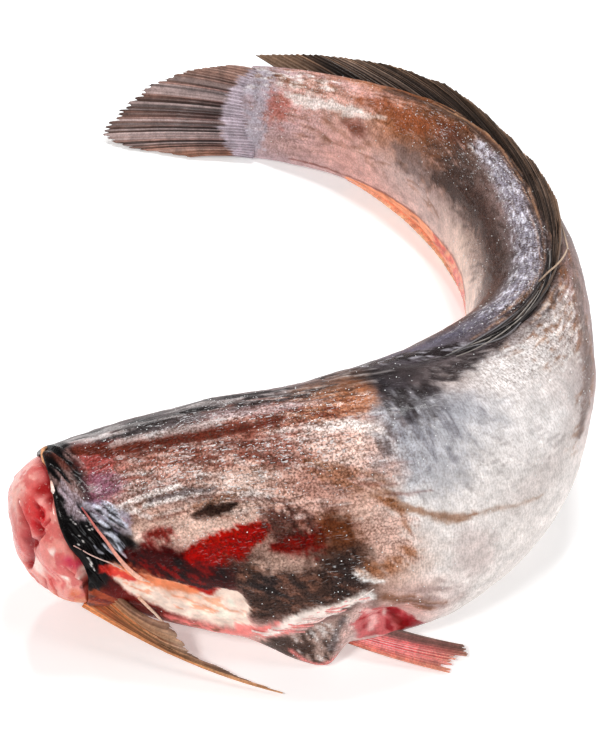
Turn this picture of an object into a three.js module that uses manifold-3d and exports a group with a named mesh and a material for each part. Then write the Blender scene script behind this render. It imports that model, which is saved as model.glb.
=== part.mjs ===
// A frozen catfish without its head, curled up and lying on its belly: one solid.
// Millimetres, +Z up, table at z = 0. The belly half runs along +X, then the tail bends round by +Y to -X.
import * as THREE from 'three';
import Module from 'manifold-3d';

// Where the cut end of the spine lies, seen from above, and how far the spine runs to the tail root.
const cutX = -79.7;
const cutY = -106.3;
const bodyLength = 400;

// Cross-sections along the spine, in degrees and millimetres.
// heading is the direction of the spine and half is half the thickness.
// above and below are measured from the spine, and roll turns the back away from the outer flank.
// lift is the gap to the table, below zero where the body is pressed flat.
const sections = [
  { at: 0, heading: 15, half: 24, above: 26, below: 26, roll: 26, lift: 9 }, // cut behind the head
  { at: 50, heading: -2, half: 30, above: 35.5, below: 41, roll: 29, lift: 1.5 }, // shoulder
  { at: 100, heading: 17, half: 34.5, above: 39, below: 50, roll: 27, lift: -2.5 }, // belly
  { at: 150, heading: 54, half: 33, above: 36, below: 48, roll: 5, lift: -2 }, // vent
  { at: 200, heading: 84, half: 20.5, above: 32, below: 43, roll: -11, lift: -1 }, // bend
  { at: 250, heading: 102, half: 15.5, above: 29.5, below: 36, roll: -11, lift: 1.5 },
  { at: 300, heading: 122, half: 10.5, above: 27.5, below: 28, roll: -12, lift: 2.5 },
  { at: 350, heading: 145, half: 7.5, above: 22, below: 19, roll: -20, lift: 4 },
  { at: 400, heading: 159, half: 4, above: 18.5, below: 18, roll: -36, lift: 0.5 }, // tail root
];
const roundness = 2.2; // power of the section's superellipse, 2 is an ellipse

// Mesh of the body: rings lie closer where the belly wall hangs open.
const around = 36;
const ringStep = 6.5;
const fineStep = 3.2;
const fineFrom = 56;
const fineTo = 112;

// Cut face: it slants back towards the belly, and its flesh swells out of the skin, with one deep crease.
// The swelling is flatter on the lower outer side.
const cut = {
  bulge: 16.5, sag: 2, inset: 0.96, gutter: 2, fullness: 0.7, steps: 6, slant: 4, slantTo: 40,
  creaseFrom: [2, 22], creaseTo: [8, -14], creaseDepth: 4, creaseWidth: 4,
  flatAngle: 128, flatSpread: 60, flatShare: 0.38,
};
const tailEnd = { length: 5, steps: 2 };

// Relief of the left side. Angles run from the back over the outer flank to the belly at 180.
const bareStrip = { from: 12, to: 62, angleFrom: 112, angleTo: 148, soft: 5, depth: 1.2 };
const finPit = { at: 97, angle: 142, length: 8, spread: 13, depth: 6 };
const shoulderHollow = { at: 10, length: 10, angleFrom: 40, angleTo: 130, soft: 20, depth: 2 };
const bellyFlap = { from: 58, tip: 82, to: 89, angle: 166, spread: 13, out: 4, drop: 6.5 };

// Fins. back, out and height are measured from the spine at the fin's own station.
const rayWeb = { reach: 0.93, thickness: 0.55 }; // the web between rays is shorter and thinner
const tailFin = {
  at: 400, rays: 18, steps: 4, rootThick: 4.4, tipThick: 1, bow: [0, 0, 0],
  root: [[-7, -11, 2], [-6, 9.5, 28]],
  tips: [[17, -19, 1.2], [52, -23, 1.2], [54, -15, 6.5], [46, -3.5, 14], [31, 4, 23], [12, 8, 29]],
};
const leftPectoral = {
  at: 8, rays: 9, steps: 4, rootThick: 3.6, tipThick: 1, bow: [0, 2.5, -2.5],
  root: [[-4.8, 17, 16], [2.2, 21, 30]],
  tips: [[54.5, 55.5, 1.2], [43, 48, 3], [28, 38.5, 8], [22, 32, 17]],
};
const rightPectoral = {
  at: 8, rays: 9, steps: 4, rootThick: 3.6, tipThick: 1, bow: [0, -2.5, 1],
  root: [[-3, -2, 13], [3, -9, 18]],
  tips: [[56, -30, 1.2], [38, -28, 2], [24, -24, 7]],
};
const leftPelvic = {
  at: 95, rays: 8, steps: 4, rootThick: 3.2, tipThick: 1, bow: [0, 1, -0.5],
  root: [[-18, 25, 9], [-6, 28, 16]],
  tips: [[21, 46.5, 1.2], [30, 42, 1.4], [33, 39.5, 2]],
};
const rightPelvic = {
  at: 95, rays: 8, steps: 4, rootThick: 3.2, tipThick: 1, bow: [0, 0, 0],
  root: [[-6, -1, 5], [2, -6, 8]],
  tips: [[22, -30, 1.2], [33, -26, 1.4], [35, -20, 2.5]],
};
const dorsalFin = {
  from: 100, to: 392, angle: 0, rays: 26, steps: 2, rootThick: 3, tipThick: 1, sink: 3,
  height: [[100, 1.5], [150, 3.5], [220, 6], [245, 6], [270, 5], [295, 5.4], [345, 9.5], [392, 6]],
  lean: [[100, 60], [215, 60], [250, 56], [392, 48]], // from upright over the outer flank
  sweep: 7,
};
const analFin = {
  from: 168, to: 345, angle: 186, rays: 20, steps: 2, rootThick: 3, tipThick: 1.2, sink: 3,
  width: [[168, 2], [205, 3.5], [260, 3.5], [310, 2.5], [345, 0.5]],
  edgeHeight: [[168, 0.6], [290, 0.6], [320, 2], [345, 4]], // it tucks under the tail
  sweep: 5,
};

const { degToRad, lerp, smoothstep } = THREE.MathUtils;

// Cubic through [place, value] pairs, with slopes taken from the neighbours.
function through(pairs, place) {
  const last = pairs.length - 1;
  const clamped = Math.min(Math.max(place, pairs[0][0]), pairs[last][0]);
  let i = 0;
  while (i < last - 1 && clamped > pairs[i + 1][0]) i += 1;
  const slope = (k) => {
    const a = pairs[Math.max(k - 1, 0)];
    const b = pairs[Math.min(k + 1, last)];
    return (b[1] - a[1]) / (b[0] - a[0]);
  };
  const [x0, y0] = pairs[i];
  const [x1, y1] = pairs[i + 1];
  const span = x1 - x0;
  const t = (clamped - x0) / span;
  const rise = (3 - 2 * t) * t * t;
  const bend = t * (1 - t) * span;
  return y0 + (y1 - y0) * rise + bend * ((1 - t) * slope(i) - t * slope(i + 1));
}

const along = (key, s) => through(sections.map((row) => [row.at, row[key]]), s);
const rounded = (value) => Math.sign(value) * Math.abs(value) ** (2 / roundness);
const bell = (x) => Math.exp(-x * x);
const band = (x, from, to, soft) => (
  smoothstep(x, from - soft, from + soft) * (1 - smoothstep(x, to - soft, to + soft))
);

// Spine in plan, walked in 1 mm steps along its heading.
const spine = [[cutX, cutY]];
for (let s = 0; s < bodyLength; s += 1) {
  const heading = degToRad(along('heading', s + 0.5));
  const [x, y] = spine[s];
  spine.push([x + Math.cos(heading), y + Math.sin(heading)]);
}

function spineAt(s) {
  const i = Math.min(Math.floor(s), bodyLength - 1);
  const part = s - i;
  const [x0, y0] = spine[i];
  const [x1, y1] = spine[i + 1];
  return new THREE.Vector3(lerp(x0, x1, part), lerp(y0, y1, part), 0);
}

// Everything that a cross-section needs at one place along the spine.
function station(s) {
  const heading = degToRad(along('heading', s));
  const roll = degToRad(along('roll', s));
  const st = {
    half: along('half', s),
    above: along('above', s),
    below: along('below', s),
    sin: Math.sin(roll),
    cos: Math.cos(roll),
    spot: spineAt(s),
    back: new THREE.Vector3(Math.cos(heading), Math.sin(heading), 0),
    out: new THREE.Vector3(Math.sin(heading), -Math.cos(heading), 0),
  };
  let lowest = 0;
  for (let angle = 90; angle < 270; angle += 3) {
    const [side, up] = outline(st, angle);
    lowest = Math.min(lowest, side * st.sin + up * st.cos);
  }
  st.height = along('lift', s) - lowest;
  return st;
}

// Point of the section before it is rolled: sideways over the outer flank, and up.
function outline(st, angle) {
  const turn = degToRad(angle);
  const reach = Math.cos(turn) > 0 ? st.above : st.below;
  return [st.half * rounded(Math.sin(turn)), reach * rounded(Math.cos(turn))];
}

// Rolls a point of the section and sets it in space.
function place(st, side, up) {
  const point = st.spot.clone().addScaledVector(st.out, side * st.cos - up * st.sin);
  point.z = st.height + side * st.sin + up * st.cos;
  return point;
}

// How far the slanting cut shifts a point back along the spine.
function slantShift(st, s, up) {
  return -cut.slant * up / st.above * (1 - smoothstep(s, 0, cut.slantTo));
}

// Skin relief in millimetres, inwards below zero.
function relief(s, angle) {
  const strip = band(s, bareStrip.from, bareStrip.to, bareStrip.soft)
    * band(angle, bareStrip.angleFrom, bareStrip.angleTo, bareStrip.soft);
  const pit = bell((s - finPit.at) / finPit.length) * bell((angle - finPit.angle) / finPit.spread);
  const hollow = bell((s - shoulderHollow.at) / shoulderHollow.length)
    * band(angle, shoulderHollow.angleFrom, shoulderHollow.angleTo, shoulderHollow.soft);
  return -bareStrip.depth * strip - finPit.depth * pit - shoulderHollow.depth * hollow;
}

function skin(s, angle, proud = 0) {
  const st = station(s);
  const [side, up] = outline(st, angle);
  const grow = 1 + (proud + relief(s, angle)) / Math.hypot(side, up);
  const point = place(st, side * grow, up * grow).addScaledVector(st.back, slantShift(st, s, up));
  const { from, tip, to } = bellyFlap;
  const hang = smoothstep(s, from, tip) * (1 - smoothstep(s, tip, to))
    * bell((angle - bellyFlap.angle) / bellyFlap.spread);
  point.addScaledVector(st.out, bellyFlap.out * hang);
  point.z = Math.max(point.z - bellyFlap.drop * hang, 0);
  return point;
}

// Swollen flesh of the cut, from the skin's edge (t = 0) to its middle (t = 1).
function flesh(t, angle) {
  const st = station(0);
  const shrink = cut.inset * Math.cos(t * Math.PI / 2) ** cut.fullness;
  const [side, up] = outline(st, angle).map((value) => value * shrink);
  const creaseFrom = new THREE.Vector3(...cut.creaseFrom, 0);
  const creaseTo = new THREE.Vector3(...cut.creaseTo, 0);
  const crease = new THREE.Line3(creaseFrom, creaseTo);
  const spot = new THREE.Vector3(side, up, 0);
  const apart = crease.closestPointToPoint(spot, true, new THREE.Vector3()).distanceTo(spot);
  const flatter = cut.flatShare * bell((angle - cut.flatAngle) / cut.flatSpread) * Math.sin(t * Math.PI);
  const swell = lerp(-cut.gutter, cut.bulge, Math.sin(t * Math.PI / 2) * (1 - flatter));
  const depth = cut.creaseDepth * bell(apart / cut.creaseWidth) * t;
  const shift = slantShift(st, 0, up) * (1 - t) + depth - swell;
  return place(st, side, up - cut.sag * t).addScaledVector(st.back, shift);
}

function ringOf(pointAt) {
  return Array.from({ length: around }, (_, j) => pointAt(360 * j / around));
}

// Closed skin over rings of points. A pole closes an end to a point, a strip closes a flat ring.
function loft(rings, ends) {
  const count = rings[0].length;
  const points = rings.flat();
  const faces = [];
  const quad = (a, b, c, d) => faces.push(a, b, c, a, c, d);
  for (let i = 0; i + 1 < rings.length; i += 1) {
    for (let j = 0; j < count; j += 1) {
      const k = (j + 1) % count;
      quad(i * count + j, i * count + k, (i + 1) * count + k, (i + 1) * count + j);
    }
  }
  [0, rings.length - 1].forEach((i) => {
    const at = (j) => i * count + (i === 0 ? count - 1 - j % count : j % count);
    if (ends === 'strip') {
      for (let j = 0; j < count / 2 - 1; j += 1) {
        quad(at(j), at(j + 1), at(count - 2 - j), at(count - 1 - j));
      }
      return;
    }
    const middle = rings[i].reduce((sum, p) => sum.add(p), new THREE.Vector3()).divideScalar(count);
    points.push(middle);
    for (let j = 0; j < count; j += 1) faces.push(at(j), at(j + 1), points.length - 1);
  });
  return { points, faces };
}

// Fan of rays from root(u) to tip(u), u from 0 to 1, thick along the rays and ragged between them.
function fan(fin, root, tip, bow) {
  const middle = (u, v) => root(u).lerp(tip(u), v).addScaledVector(bow, 4 * v * (1 - v));
  const step = 0.01; // share of the fin over which its slopes are measured
  const rings = Array.from({ length: 2 * fin.rays + 1 }, (_, i) => {
    const u = i / (2 * fin.rays);
    const web = i % 2 === 1;
    const faces = Array.from({ length: fin.steps + 1 }, (__, k) => {
      const v = (web ? rayWeb.reach : 1) * k / fin.steps;
      const across = middle(Math.min(u + step, 1), v).sub(middle(Math.max(u - step, 0), v));
      const outward = middle(u, Math.min(v + step, 1)).sub(middle(u, Math.max(v - step, 0)));
      const thick = lerp(fin.rootThick, fin.tipThick, v) * (web ? rayWeb.thickness : 1);
      const offset = across.cross(outward).normalize().multiplyScalar(thick / 2);
      return [middle(u, v).add(offset), middle(u, v).sub(offset)];
    });
    const ring = [...faces.map((pair) => pair[0]), ...faces.map((pair) => pair[1]).reverse()];
    ring.forEach((point) => { point.z = Math.max(point.z, 0); });
    return ring;
  });
  return loft(rings, 'strip');
}

// Fin on a short root, spread over tips that lie on a smooth curve.
function spreadFin(fin) {
  const st = station(fin.at);
  const spot = ([back, out, height]) => (
    st.spot.clone().addScaledVector(st.back, back).addScaledVector(st.out, out).setZ(height)
  );
  const edge = new THREE.CatmullRomCurve3(fin.tips.map(spot));
  const [first, second] = fin.root.map(spot);
  const [back, out, up] = fin.bow;
  const bow = new THREE.Vector3(0, 0, up).addScaledVector(st.back, back).addScaledVector(st.out, out);
  return fan(fin, (u) => first.clone().lerp(second, u), (u) => edge.getPoint(u), bow);
}

// Long fin along the back, leaning over the outer flank.
function backFin(fin) {
  const place = (u) => lerp(fin.from, fin.to, u);
  const tip = (u) => {
    const s = place(u);
    const st = station(s);
    const lean = degToRad(through(fin.lean, s)) - Math.asin(st.sin);
    const height = through(fin.height, s);
    const point = skin(s, fin.angle).addScaledVector(st.out, height * Math.sin(lean));
    point.z += height * Math.cos(lean);
    return point.addScaledVector(st.back, fin.sweep);
  };
  return fan(fin, (u) => skin(place(u), fin.angle, -fin.sink), tip, new THREE.Vector3());
}

// Long fin under the tail, folded to the inner side and resting on the table.
function underFin(fin) {
  const place = (u) => lerp(fin.from, fin.to, u);
  const tip = (u) => {
    const s = place(u);
    const st = station(s);
    const point = skin(s, fin.angle).addScaledVector(st.out, -through(fin.width, s));
    return point.addScaledVector(st.back, fin.sweep).setZ(through(fin.edgeHeight, s));
  };
  return fan(fin, (u) => skin(place(u), fin.angle, -fin.sink), tip, new THREE.Vector3());
}

function bodyRings() {
  const rings = [];
  for (let k = cut.steps - 1; k >= 0; k -= 1) rings.push(ringOf((angle) => flesh(k / cut.steps, angle)));
  let s = 0;
  while (s < bodyLength) {
    rings.push(ringOf((angle) => skin(s, angle)));
    s += s >= fineFrom && s < fineTo ? fineStep : ringStep;
  }
  const st = station(bodyLength);
  for (let k = 0; k <= tailEnd.steps; k += 1) {
    const t = 0.5 * Math.PI * k / (tailEnd.steps + 1);
    const shift = tailEnd.length * Math.sin(t);
    rings.push(ringOf((angle) => {
      const [side, up] = outline(st, angle);
      return place(st, side * Math.cos(t), up * Math.cos(t)).addScaledVector(st.back, shift);
    }));
  }
  return rings;
}

const wasm = await Module();
wasm.setup();

function solid({ points, faces }) {
  const vertProperties = new Float32Array(points.flatMap((p) => p.toArray()));
  let volume = 0;
  for (let i = 0; i < faces.length; i += 3) {
    const [a, b, c] = [0, 1, 2].map((k) => points[faces[i + k]]);
    volume += a.dot(b.clone().cross(c));
  }
  const triVerts = new Uint32Array(volume > 0 ? faces : faces.toReversed());
  return new wasm.Manifold(new wasm.Mesh({ numProp: 3, vertProperties, triVerts }));
}

const fins = [tailFin, leftPectoral, rightPectoral, leftPelvic, rightPelvic].map(spreadFin);
const pieces = [...fins, backFin(dorsalFin), underFin(analFin)].map(solid);
const whole = pieces.reduce((sum, fin) => sum.add(fin), solid(loft(bodyRings(), 'pole'))).getMesh();

const geometry = new THREE.BufferGeometry();
geometry.setAttribute('position', new THREE.BufferAttribute(whole.vertProperties, 3));
geometry.setIndex(new THREE.BufferAttribute(whole.triVerts, 1));
geometry.computeVertexNormals();
const skinFinish = new THREE.MeshStandardMaterial({ color: 0x8d7f78, roughness: 0.45, metalness: 0 });
const catfish = new THREE.Mesh(geometry, skinFinish);
catfish.name = 'catfish';

const fish = new THREE.Group();
fish.add(catfish);

export default fish;
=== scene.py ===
import math
import bmesh
import bpy
import mathutils
import numpy as np
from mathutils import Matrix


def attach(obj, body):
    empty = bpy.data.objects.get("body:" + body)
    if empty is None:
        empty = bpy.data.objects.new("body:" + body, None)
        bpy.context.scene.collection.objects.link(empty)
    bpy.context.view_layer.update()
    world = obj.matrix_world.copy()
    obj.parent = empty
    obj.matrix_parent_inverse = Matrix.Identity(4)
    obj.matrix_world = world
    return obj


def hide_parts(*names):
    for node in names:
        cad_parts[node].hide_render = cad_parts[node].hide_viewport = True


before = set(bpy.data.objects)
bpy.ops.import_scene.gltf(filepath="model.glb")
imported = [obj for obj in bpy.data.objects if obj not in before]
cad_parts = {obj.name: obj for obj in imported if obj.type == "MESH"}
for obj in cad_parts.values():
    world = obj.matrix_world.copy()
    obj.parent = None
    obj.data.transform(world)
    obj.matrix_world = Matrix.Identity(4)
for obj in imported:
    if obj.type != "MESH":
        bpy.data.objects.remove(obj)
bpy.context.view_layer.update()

mm = 0.001
far, tiny = 1e9, 1e-9

# camera at the photograph's angle, then light and floor
shot = {
    "target": (-0.0022, -0.0353, 0.040),
    "distance": 0.9,
    "elevation": 45,
    "lens": 128.7,
    "sensor": 36,
    "nearest": 0.01,
}
studio = {
    "skyColour": (1.0, 1.0, 1.0),
    "skyStrength": 0.22,
    "floorHalf": 3.0,
    "floorColour": (0.93, 0.93, 0.93, 1),
    "floorRoughness": 0.9,
    "floorGlow": 0.28,
    # name: place, size, watts, colour
    "lamps": {
        "keyLamp": ((-0.55, -0.85, 1.15), 0.30, 9.5, (1.0, 0.985, 0.96)),
        "topLamp": ((0.15, 0.35, 1.35), 0.35, 9.0, (0.97, 0.985, 1.0)),
        "sideLamp": ((1.15, -0.35, 0.75), 0.40, 5.5, (0.96, 0.98, 1.0)),
        "sparkLamp": ((-0.25, 0.75, 1.0), 0.10, 3.5, (1.0, 1.0, 1.0)),
    },
}


def aimAt(spot, target):
    return (mathutils.Vector(target) - mathutils.Vector(spot)).to_track_quat("-Z", "Y").to_euler()


def buildStudio():
    scene = bpy.context.scene
    tilt = math.radians(shot["elevation"])
    cam = bpy.data.cameras.new("photoCamera")
    cam.lens = shot["lens"]
    cam.sensor_width = shot["sensor"]
    cam.clip_start = shot["nearest"]
    camera = bpy.data.objects.new("photoCamera", cam)
    x, y, z = shot["target"]
    camera.location = (x, y - shot["distance"] * math.cos(tilt), z + shot["distance"] * math.sin(tilt))
    camera.rotation_euler = (math.pi / 2 - tilt, 0, 0)
    scene.collection.objects.link(camera)
    scene.camera = camera

    for name, (spot, size, watts, colour) in studio["lamps"].items():
        light = bpy.data.lights.new(name, "AREA")
        light.shape = "DISK"
        light.size = size
        light.energy = watts
        light.color = colour
        lamp = bpy.data.objects.new(name, light)
        lamp.location = spot
        lamp.rotation_euler = aimAt(spot, shot["target"])
        scene.collection.objects.link(lamp)

    world = bpy.data.worlds.new("studioSky")
    world.use_nodes = True
    sky = world.node_tree.nodes["Background"]
    sky.inputs["Color"].default_value = (*studio["skyColour"], 1)
    sky.inputs["Strength"].default_value = studio["skyStrength"]
    scene.world = world
    scene.view_settings.view_transform = "Standard"

    half = studio["floorHalf"]
    mesh = bpy.data.meshes.new("floor")
    mesh.from_pydata([(-half, -half, 0), (half, -half, 0), (half, half, 0), (-half, half, 0)], [], [(0, 1, 2, 3)])
    floor = bpy.data.objects.new("floor", mesh)
    finish = bpy.data.materials.new("floorPaper")
    finish.use_nodes = True
    paper = finish.node_tree.nodes["Principled BSDF"]
    paper.inputs["Base Color"].default_value = studio["floorColour"]
    paper.inputs["Roughness"].default_value = studio["floorRoughness"]
    paper.inputs["Emission Color"].default_value = (1, 1, 1, 1)
    paper.inputs["Emission Strength"].default_value = studio["floorGlow"]
    mesh.materials.append(finish)
    scene.collection.objects.link(floor)
    print("studio built")


# small helpers: curves through points, soft steps, noise, colour
def through(pairs, place):
    xs, ys = np.array(pairs, float).T
    s = np.clip(np.asarray(place, float), xs[0], xs[-1])
    n = len(xs)
    lower = np.maximum(np.arange(n) - 1, 0)
    upper = np.minimum(np.arange(n) + 1, n - 1)
    slope = (ys[upper] - ys[lower]) / (xs[upper] - xs[lower])
    i = np.clip(np.searchsorted(xs, s, side="left") - 1, 0, n - 2)
    span = xs[i + 1] - xs[i]
    t = (s - xs[i]) / span
    bend = t * (1 - t) * span * ((1 - t) * slope[i] - t * slope[i + 1])
    return ys[i] + (ys[i + 1] - ys[i]) * (3 - 2 * t) * t * t + bend


def smooth(x, a, b):
    t = np.clip((x - a) / (b - a), 0, 1)
    return t * t * (3 - 2 * t)


def bell(x):
    return np.exp(-x * x)


def band(x, start, stop, soft):
    return smooth(x, start - soft, start + soft) * (1 - smooth(x, stop - soft, stop + soft))


def wrap(angle):
    return (angle + 180) % 360 - 180


cellHash = {
    "steps": (73856093, 19349663, 83492791), "seed": 40503077, "mix": 1274126177,
    "shifts": (13, 16), "top": 65535,
}
octave = {"shift": 17.3, "fade": 0.55, "spread": 1.6}


def cellValue(cell, seed):  # a fixed random value from -1 to 1 for each cell
    a, b, c = cellHash["steps"]
    h = (cell[..., 0] * a) ^ (cell[..., 1] * b) ^ (cell[..., 2] * c) ^ (seed * cellHash["seed"])
    first, second = cellHash["shifts"]
    h = (h ^ (h >> first)) * cellHash["mix"]
    return ((h ^ (h >> second)) & cellHash["top"]) / (cellHash["top"] / 2) - 1


def valueNoise(points, seed):
    cell = np.floor(points).astype(np.int64)
    part = points - cell
    fade = part * part * (3 - 2 * part)
    total = 0
    for corner in np.ndindex(2, 2, 2):
        step = np.array(corner)
        weight = np.prod(np.where(step == 1, fade, 1 - fade), axis=-1)
        total = total + weight * cellValue(cell + step, seed)
    return total


def fractal(points, size, seed, octaves=3):
    total, gain, gains = 0, 1.0, 0.0
    for k in range(octaves):
        total = total + gain * valueNoise(points * (2 ** k / size) + octave["shift"] * k, seed + k)
        gains += gain
        gain *= octave["fade"]
    return total / gains * octave["spread"]


def layered(points, layers):  # noise of several sizes: size in mm, seed, reach
    return sum(reach * fractal(points, size, seed) for size, seed, reach in layers)


def onLine(values):  # points on one axis, for noise that runs along it
    return np.stack([values, 0 * values, 0 * values], -1)


def linear(colour):  # from 0 to 255 as seen on a screen to the renderer's scale
    c = np.asarray(colour, float) / 255
    return np.where(c <= 0.04045, c / 12.92, ((c + 0.055) / 1.055) ** 2.4)


tintLimits = (4, 255)


def tintValues(tint):
    return linear(np.clip(tint, *tintLimits))


def stain(tint, tone, amount):  # tint drawn towards a tone
    return tint + (np.array(tone, float) - tint) * np.asarray(amount)[..., None]


def toneAt(stops, v):  # tone along a line, from its stops
    colours = np.array(list(stops.values()), float)
    return np.stack([np.interp(v, list(stops), colours[:, k]) for k in range(3)], -1)


# the body's form in mm, the same as the solid's
body = {
    "cutX": -79.7,
    "cutY": -106.3,
    "length": 400,
    "power": 2.2,
    "columns": ("heading", "half", "above", "below", "roll", "lift"),
    "sections": {
        0: (15, 24, 26, 26, 26, 9),
        50: (-2, 30, 35.5, 41, 29, 1.5),
        100: (17, 34.5, 39, 50, 27, -2.5),
        150: (54, 33, 36, 48, 5, -2),
        200: (84, 20.5, 32, 43, -11, -1),
        250: (102, 15.5, 29.5, 36, -11, 1.5),
        300: (122, 10.5, 27.5, 28, -12, 2.5),
        350: (145, 7.5, 22, 19, -20, 4),
        400: (159, 4, 18.5, 18, -36, 0.5),
    },
    "slant": 4,
    "slantTo": 40,
    "strip": (12, 62, 112, 148, 5, 1.2),  # start, stop, low and high angle, softness, depth
    "pit": (97, 142, 8, 13, 6),  # at, angle, length, spread, depth
    "hollow": (10, 10, 40, 130, 20, 2),  # at, length, low and high angle, softness, depth
    "flap": (58, 82, 89, 166, 13, 4, 6.5),  # start, tip, stop, angle, spread, out, drop
    "endThinner": 0.45,
    "thinFrom": 378,
    "underside": range(90, 270, 3),  # angles at which the lowest point is looked for
}


def along(name, s):
    column = body["columns"].index(name)
    return through([(at, row[column]) for at, row in body["sections"].items()], s)


def walkSpine():
    steps = np.arange(body["length"])
    turn = np.radians(along("heading", steps + 0.5))
    x = body["cutX"] + np.concatenate([[0], np.cumsum(np.cos(turn))])
    y = body["cutY"] + np.concatenate([[0], np.cumsum(np.sin(turn))])
    return np.arange(body["length"] + 1), x, y


spine = walkSpine()


def rounded(value):
    return np.sign(value) * np.abs(value) ** (2 / body["power"])


def outline(st, angle):
    turn = np.radians(angle)
    reach = np.where(np.cos(turn) > 0, st["above"], st["below"])
    return st["half"] * rounded(np.sin(turn)), reach * rounded(np.cos(turn))


def station(s):
    s = np.asarray(s, float)
    turn, roll = np.radians(along("heading", s)), np.radians(along("roll", s))
    st = {
        "half": along("half", s), "above": along("above", s), "below": along("below", s),
        "sin": np.sin(roll), "cos": np.cos(roll),
        "spot": np.stack([np.interp(s, spine[0], spine[1]), np.interp(s, spine[0], spine[2]), 0 * s], -1),
        "back": np.stack([np.cos(turn), np.sin(turn), 0 * s], -1),
        "out": np.stack([np.sin(turn), -np.cos(turn), 0 * s], -1),
    }
    lowest = np.zeros_like(s)
    for angle in body["underside"]:
        side, up = outline(st, angle)
        lowest = np.minimum(lowest, side * st["sin"] + up * st["cos"])
    st["height"] = along("lift", s) - lowest
    return st


def placed(st, side, up, shift=0.0):
    point = st["spot"] + st["out"] * np.asarray(side * st["cos"] - up * st["sin"])[..., None]
    point = point + st["back"] * np.asarray(shift + 0 * side)[..., None]
    point[..., 2] = st["height"] + side * st["sin"] + up * st["cos"]
    return point


def relief(s, angle):
    start, stop, low, high, soft, depth = body["strip"]
    strip = depth * band(s, start, stop, soft) * band(angle, low, high, soft)
    at, middle, length, spread, deep = body["pit"]
    pit = deep * bell((s - at) / length) * bell(wrap(angle - middle) / spread)
    at, length, low, high, soft, depth = body["hollow"]
    hollow = depth * bell((s - at) / length) * band(angle, low, high, soft)
    return -strip - pit - hollow


def skinPoint(s, angle, proud=0.0, shift=0.0):
    s, angle = np.broadcast_arrays(np.asarray(s, float), np.asarray(angle, float))
    st = station(s)
    side, up = outline(st, angle)
    side = side * (1 - body["endThinner"] * smooth(s, body["thinFrom"], body["length"]))
    grow = 1 + (proud + relief(s, angle)) / np.hypot(side, up)
    slant = -body["slant"] * up / st["above"] * (1 - smooth(s, 0, body["slantTo"]))
    point = placed(st, side * grow, up * grow, slant + shift)
    start, tip, stop, middle, spread, out, drop = body["flap"]
    hang = smooth(s, start, tip) * (1 - smooth(s, tip, stop)) * bell(wrap(angle - middle) / spread)
    point = point + st["out"] * (out * hang)[..., None]
    point[..., 2] = np.maximum(point[..., 2] - drop * hang, 0)
    return point


# mesh from points in mm, with named values on its points and a map on its corners
def setValues(mesh, values):
    for key, data in values.items():
        data = np.asarray(data, np.float32)
        vector = data.ndim > 1
        layer = mesh.attributes.new(key, "FLOAT_VECTOR" if vector else "FLOAT", "POINT")
        layer.data.foreach_set("vector" if vector else "value", data.ravel())


def newPiece(name, mesh):
    piece = bpy.data.objects.new(name, mesh)
    bpy.context.scene.collection.objects.link(piece)
    return piece


def makePiece(name, points, faces, values, finish, uv=None):
    mesh = bpy.data.meshes.new(name)
    mesh.from_pydata((np.asarray(points) * mm).tolist(), [], faces)
    setValues(mesh, values)
    if uv is not None:
        mesh.uv_layers.new(name="along").data.foreach_set("uv", uv.astype(np.float32).ravel())
    mesh.materials.append(finish)
    mesh.shade_smooth()
    print(name, len(mesh.vertices), "points", len(mesh.polygons), "faces")
    return newPiece(name, mesh)


def gridFaces(rows, columns, closed):
    i = np.arange(rows - 1)[:, None]
    j = np.arange(columns if closed else columns - 1)[None, :]
    k = (j + 1) % columns
    here, after = i * columns, (i + 1) * columns
    return np.stack([here + j, here + k, after + k, after + j], -1).reshape(-1, 4)


def fanFaces(start, columns, pole, inward=False):  # triangles from a closed ring to one point
    j = np.arange(columns)
    k = (j + 1) % columns
    first, second = (k, j) if inward else (j, k)
    return np.stack([start + first, start + second, np.full(columns, pole)], -1).tolist()


def ride(piece):
    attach(piece, "root")
    return piece


# shader nodes: put() adds one and fills or links its inputs
def put(tree, kind, inputs=None, **settings):
    node = tree.nodes.new("ShaderNode" + kind)
    for key, value in settings.items():
        setattr(node, key, value)
    for key, value in (inputs or {}).items():
        if isinstance(value, bpy.types.NodeSocket):
            tree.links.new(value, node.inputs[key])
        else:
            node.inputs[key].default_value = value
    return node


def times(tree, a, b):
    return put(tree, "Math", {0: a, 1: b}, operation="MULTIPLY").outputs[0]


def plus(tree, a, b, clamp=False):
    return put(tree, "Math", {0: a, 1: b}, operation="ADD", use_clamp=clamp).outputs[0]


def mixColour(tree, amount, a, b, blend="MIX"):
    return put(tree, "Mix", {0: amount, 6: a, 7: b}, data_type="RGBA", blend_type=blend).outputs[2]


def mixValue(tree, amount, a, b):
    return put(tree, "Mix", {0: amount, 2: a, 3: b}, data_type="FLOAT").outputs[0]


def ramp(tree, value, low, high, toLow=0.0, toHigh=1.0):
    limits = {"Value": value, "From Min": low, "From Max": high, "To Min": toLow, "To Max": toHigh}
    return put(tree, "MapRange", limits, interpolation_type="SMOOTHSTEP").outputs[0]


def greyOf(tree, value):
    return put(tree, "CombineColor", {0: value, 1: value, 2: value}).outputs[0]


def shaded(tree, colour, value):
    return mixColour(tree, 1.0, colour, greyOf(tree, value), "MULTIPLY")


def attribute(tree, name, output="Fac"):
    return put(tree, "Attribute", attribute_name=name).outputs[output]


def noiseAt(tree, coords, scale, detail, roughness, stretch=None, turn=0.0):
    if stretch:
        coords = put(tree, "Mapping", {"Vector": coords, "Scale": stretch, "Rotation": (0, 0, turn)}).outputs[0]
    settings = {"Vector": coords, "Scale": scale, "Detail": detail, "Roughness": roughness}
    return put(tree, "TexNoise", settings).outputs[0]


def bumpOf(tree, shader, height, distance, strength):
    bump = put(tree, "Bump", {"Height": height, "Distance": distance, "Strength": strength})
    tree.links.new(bump.outputs[0], shader.inputs["Normal"])


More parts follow.
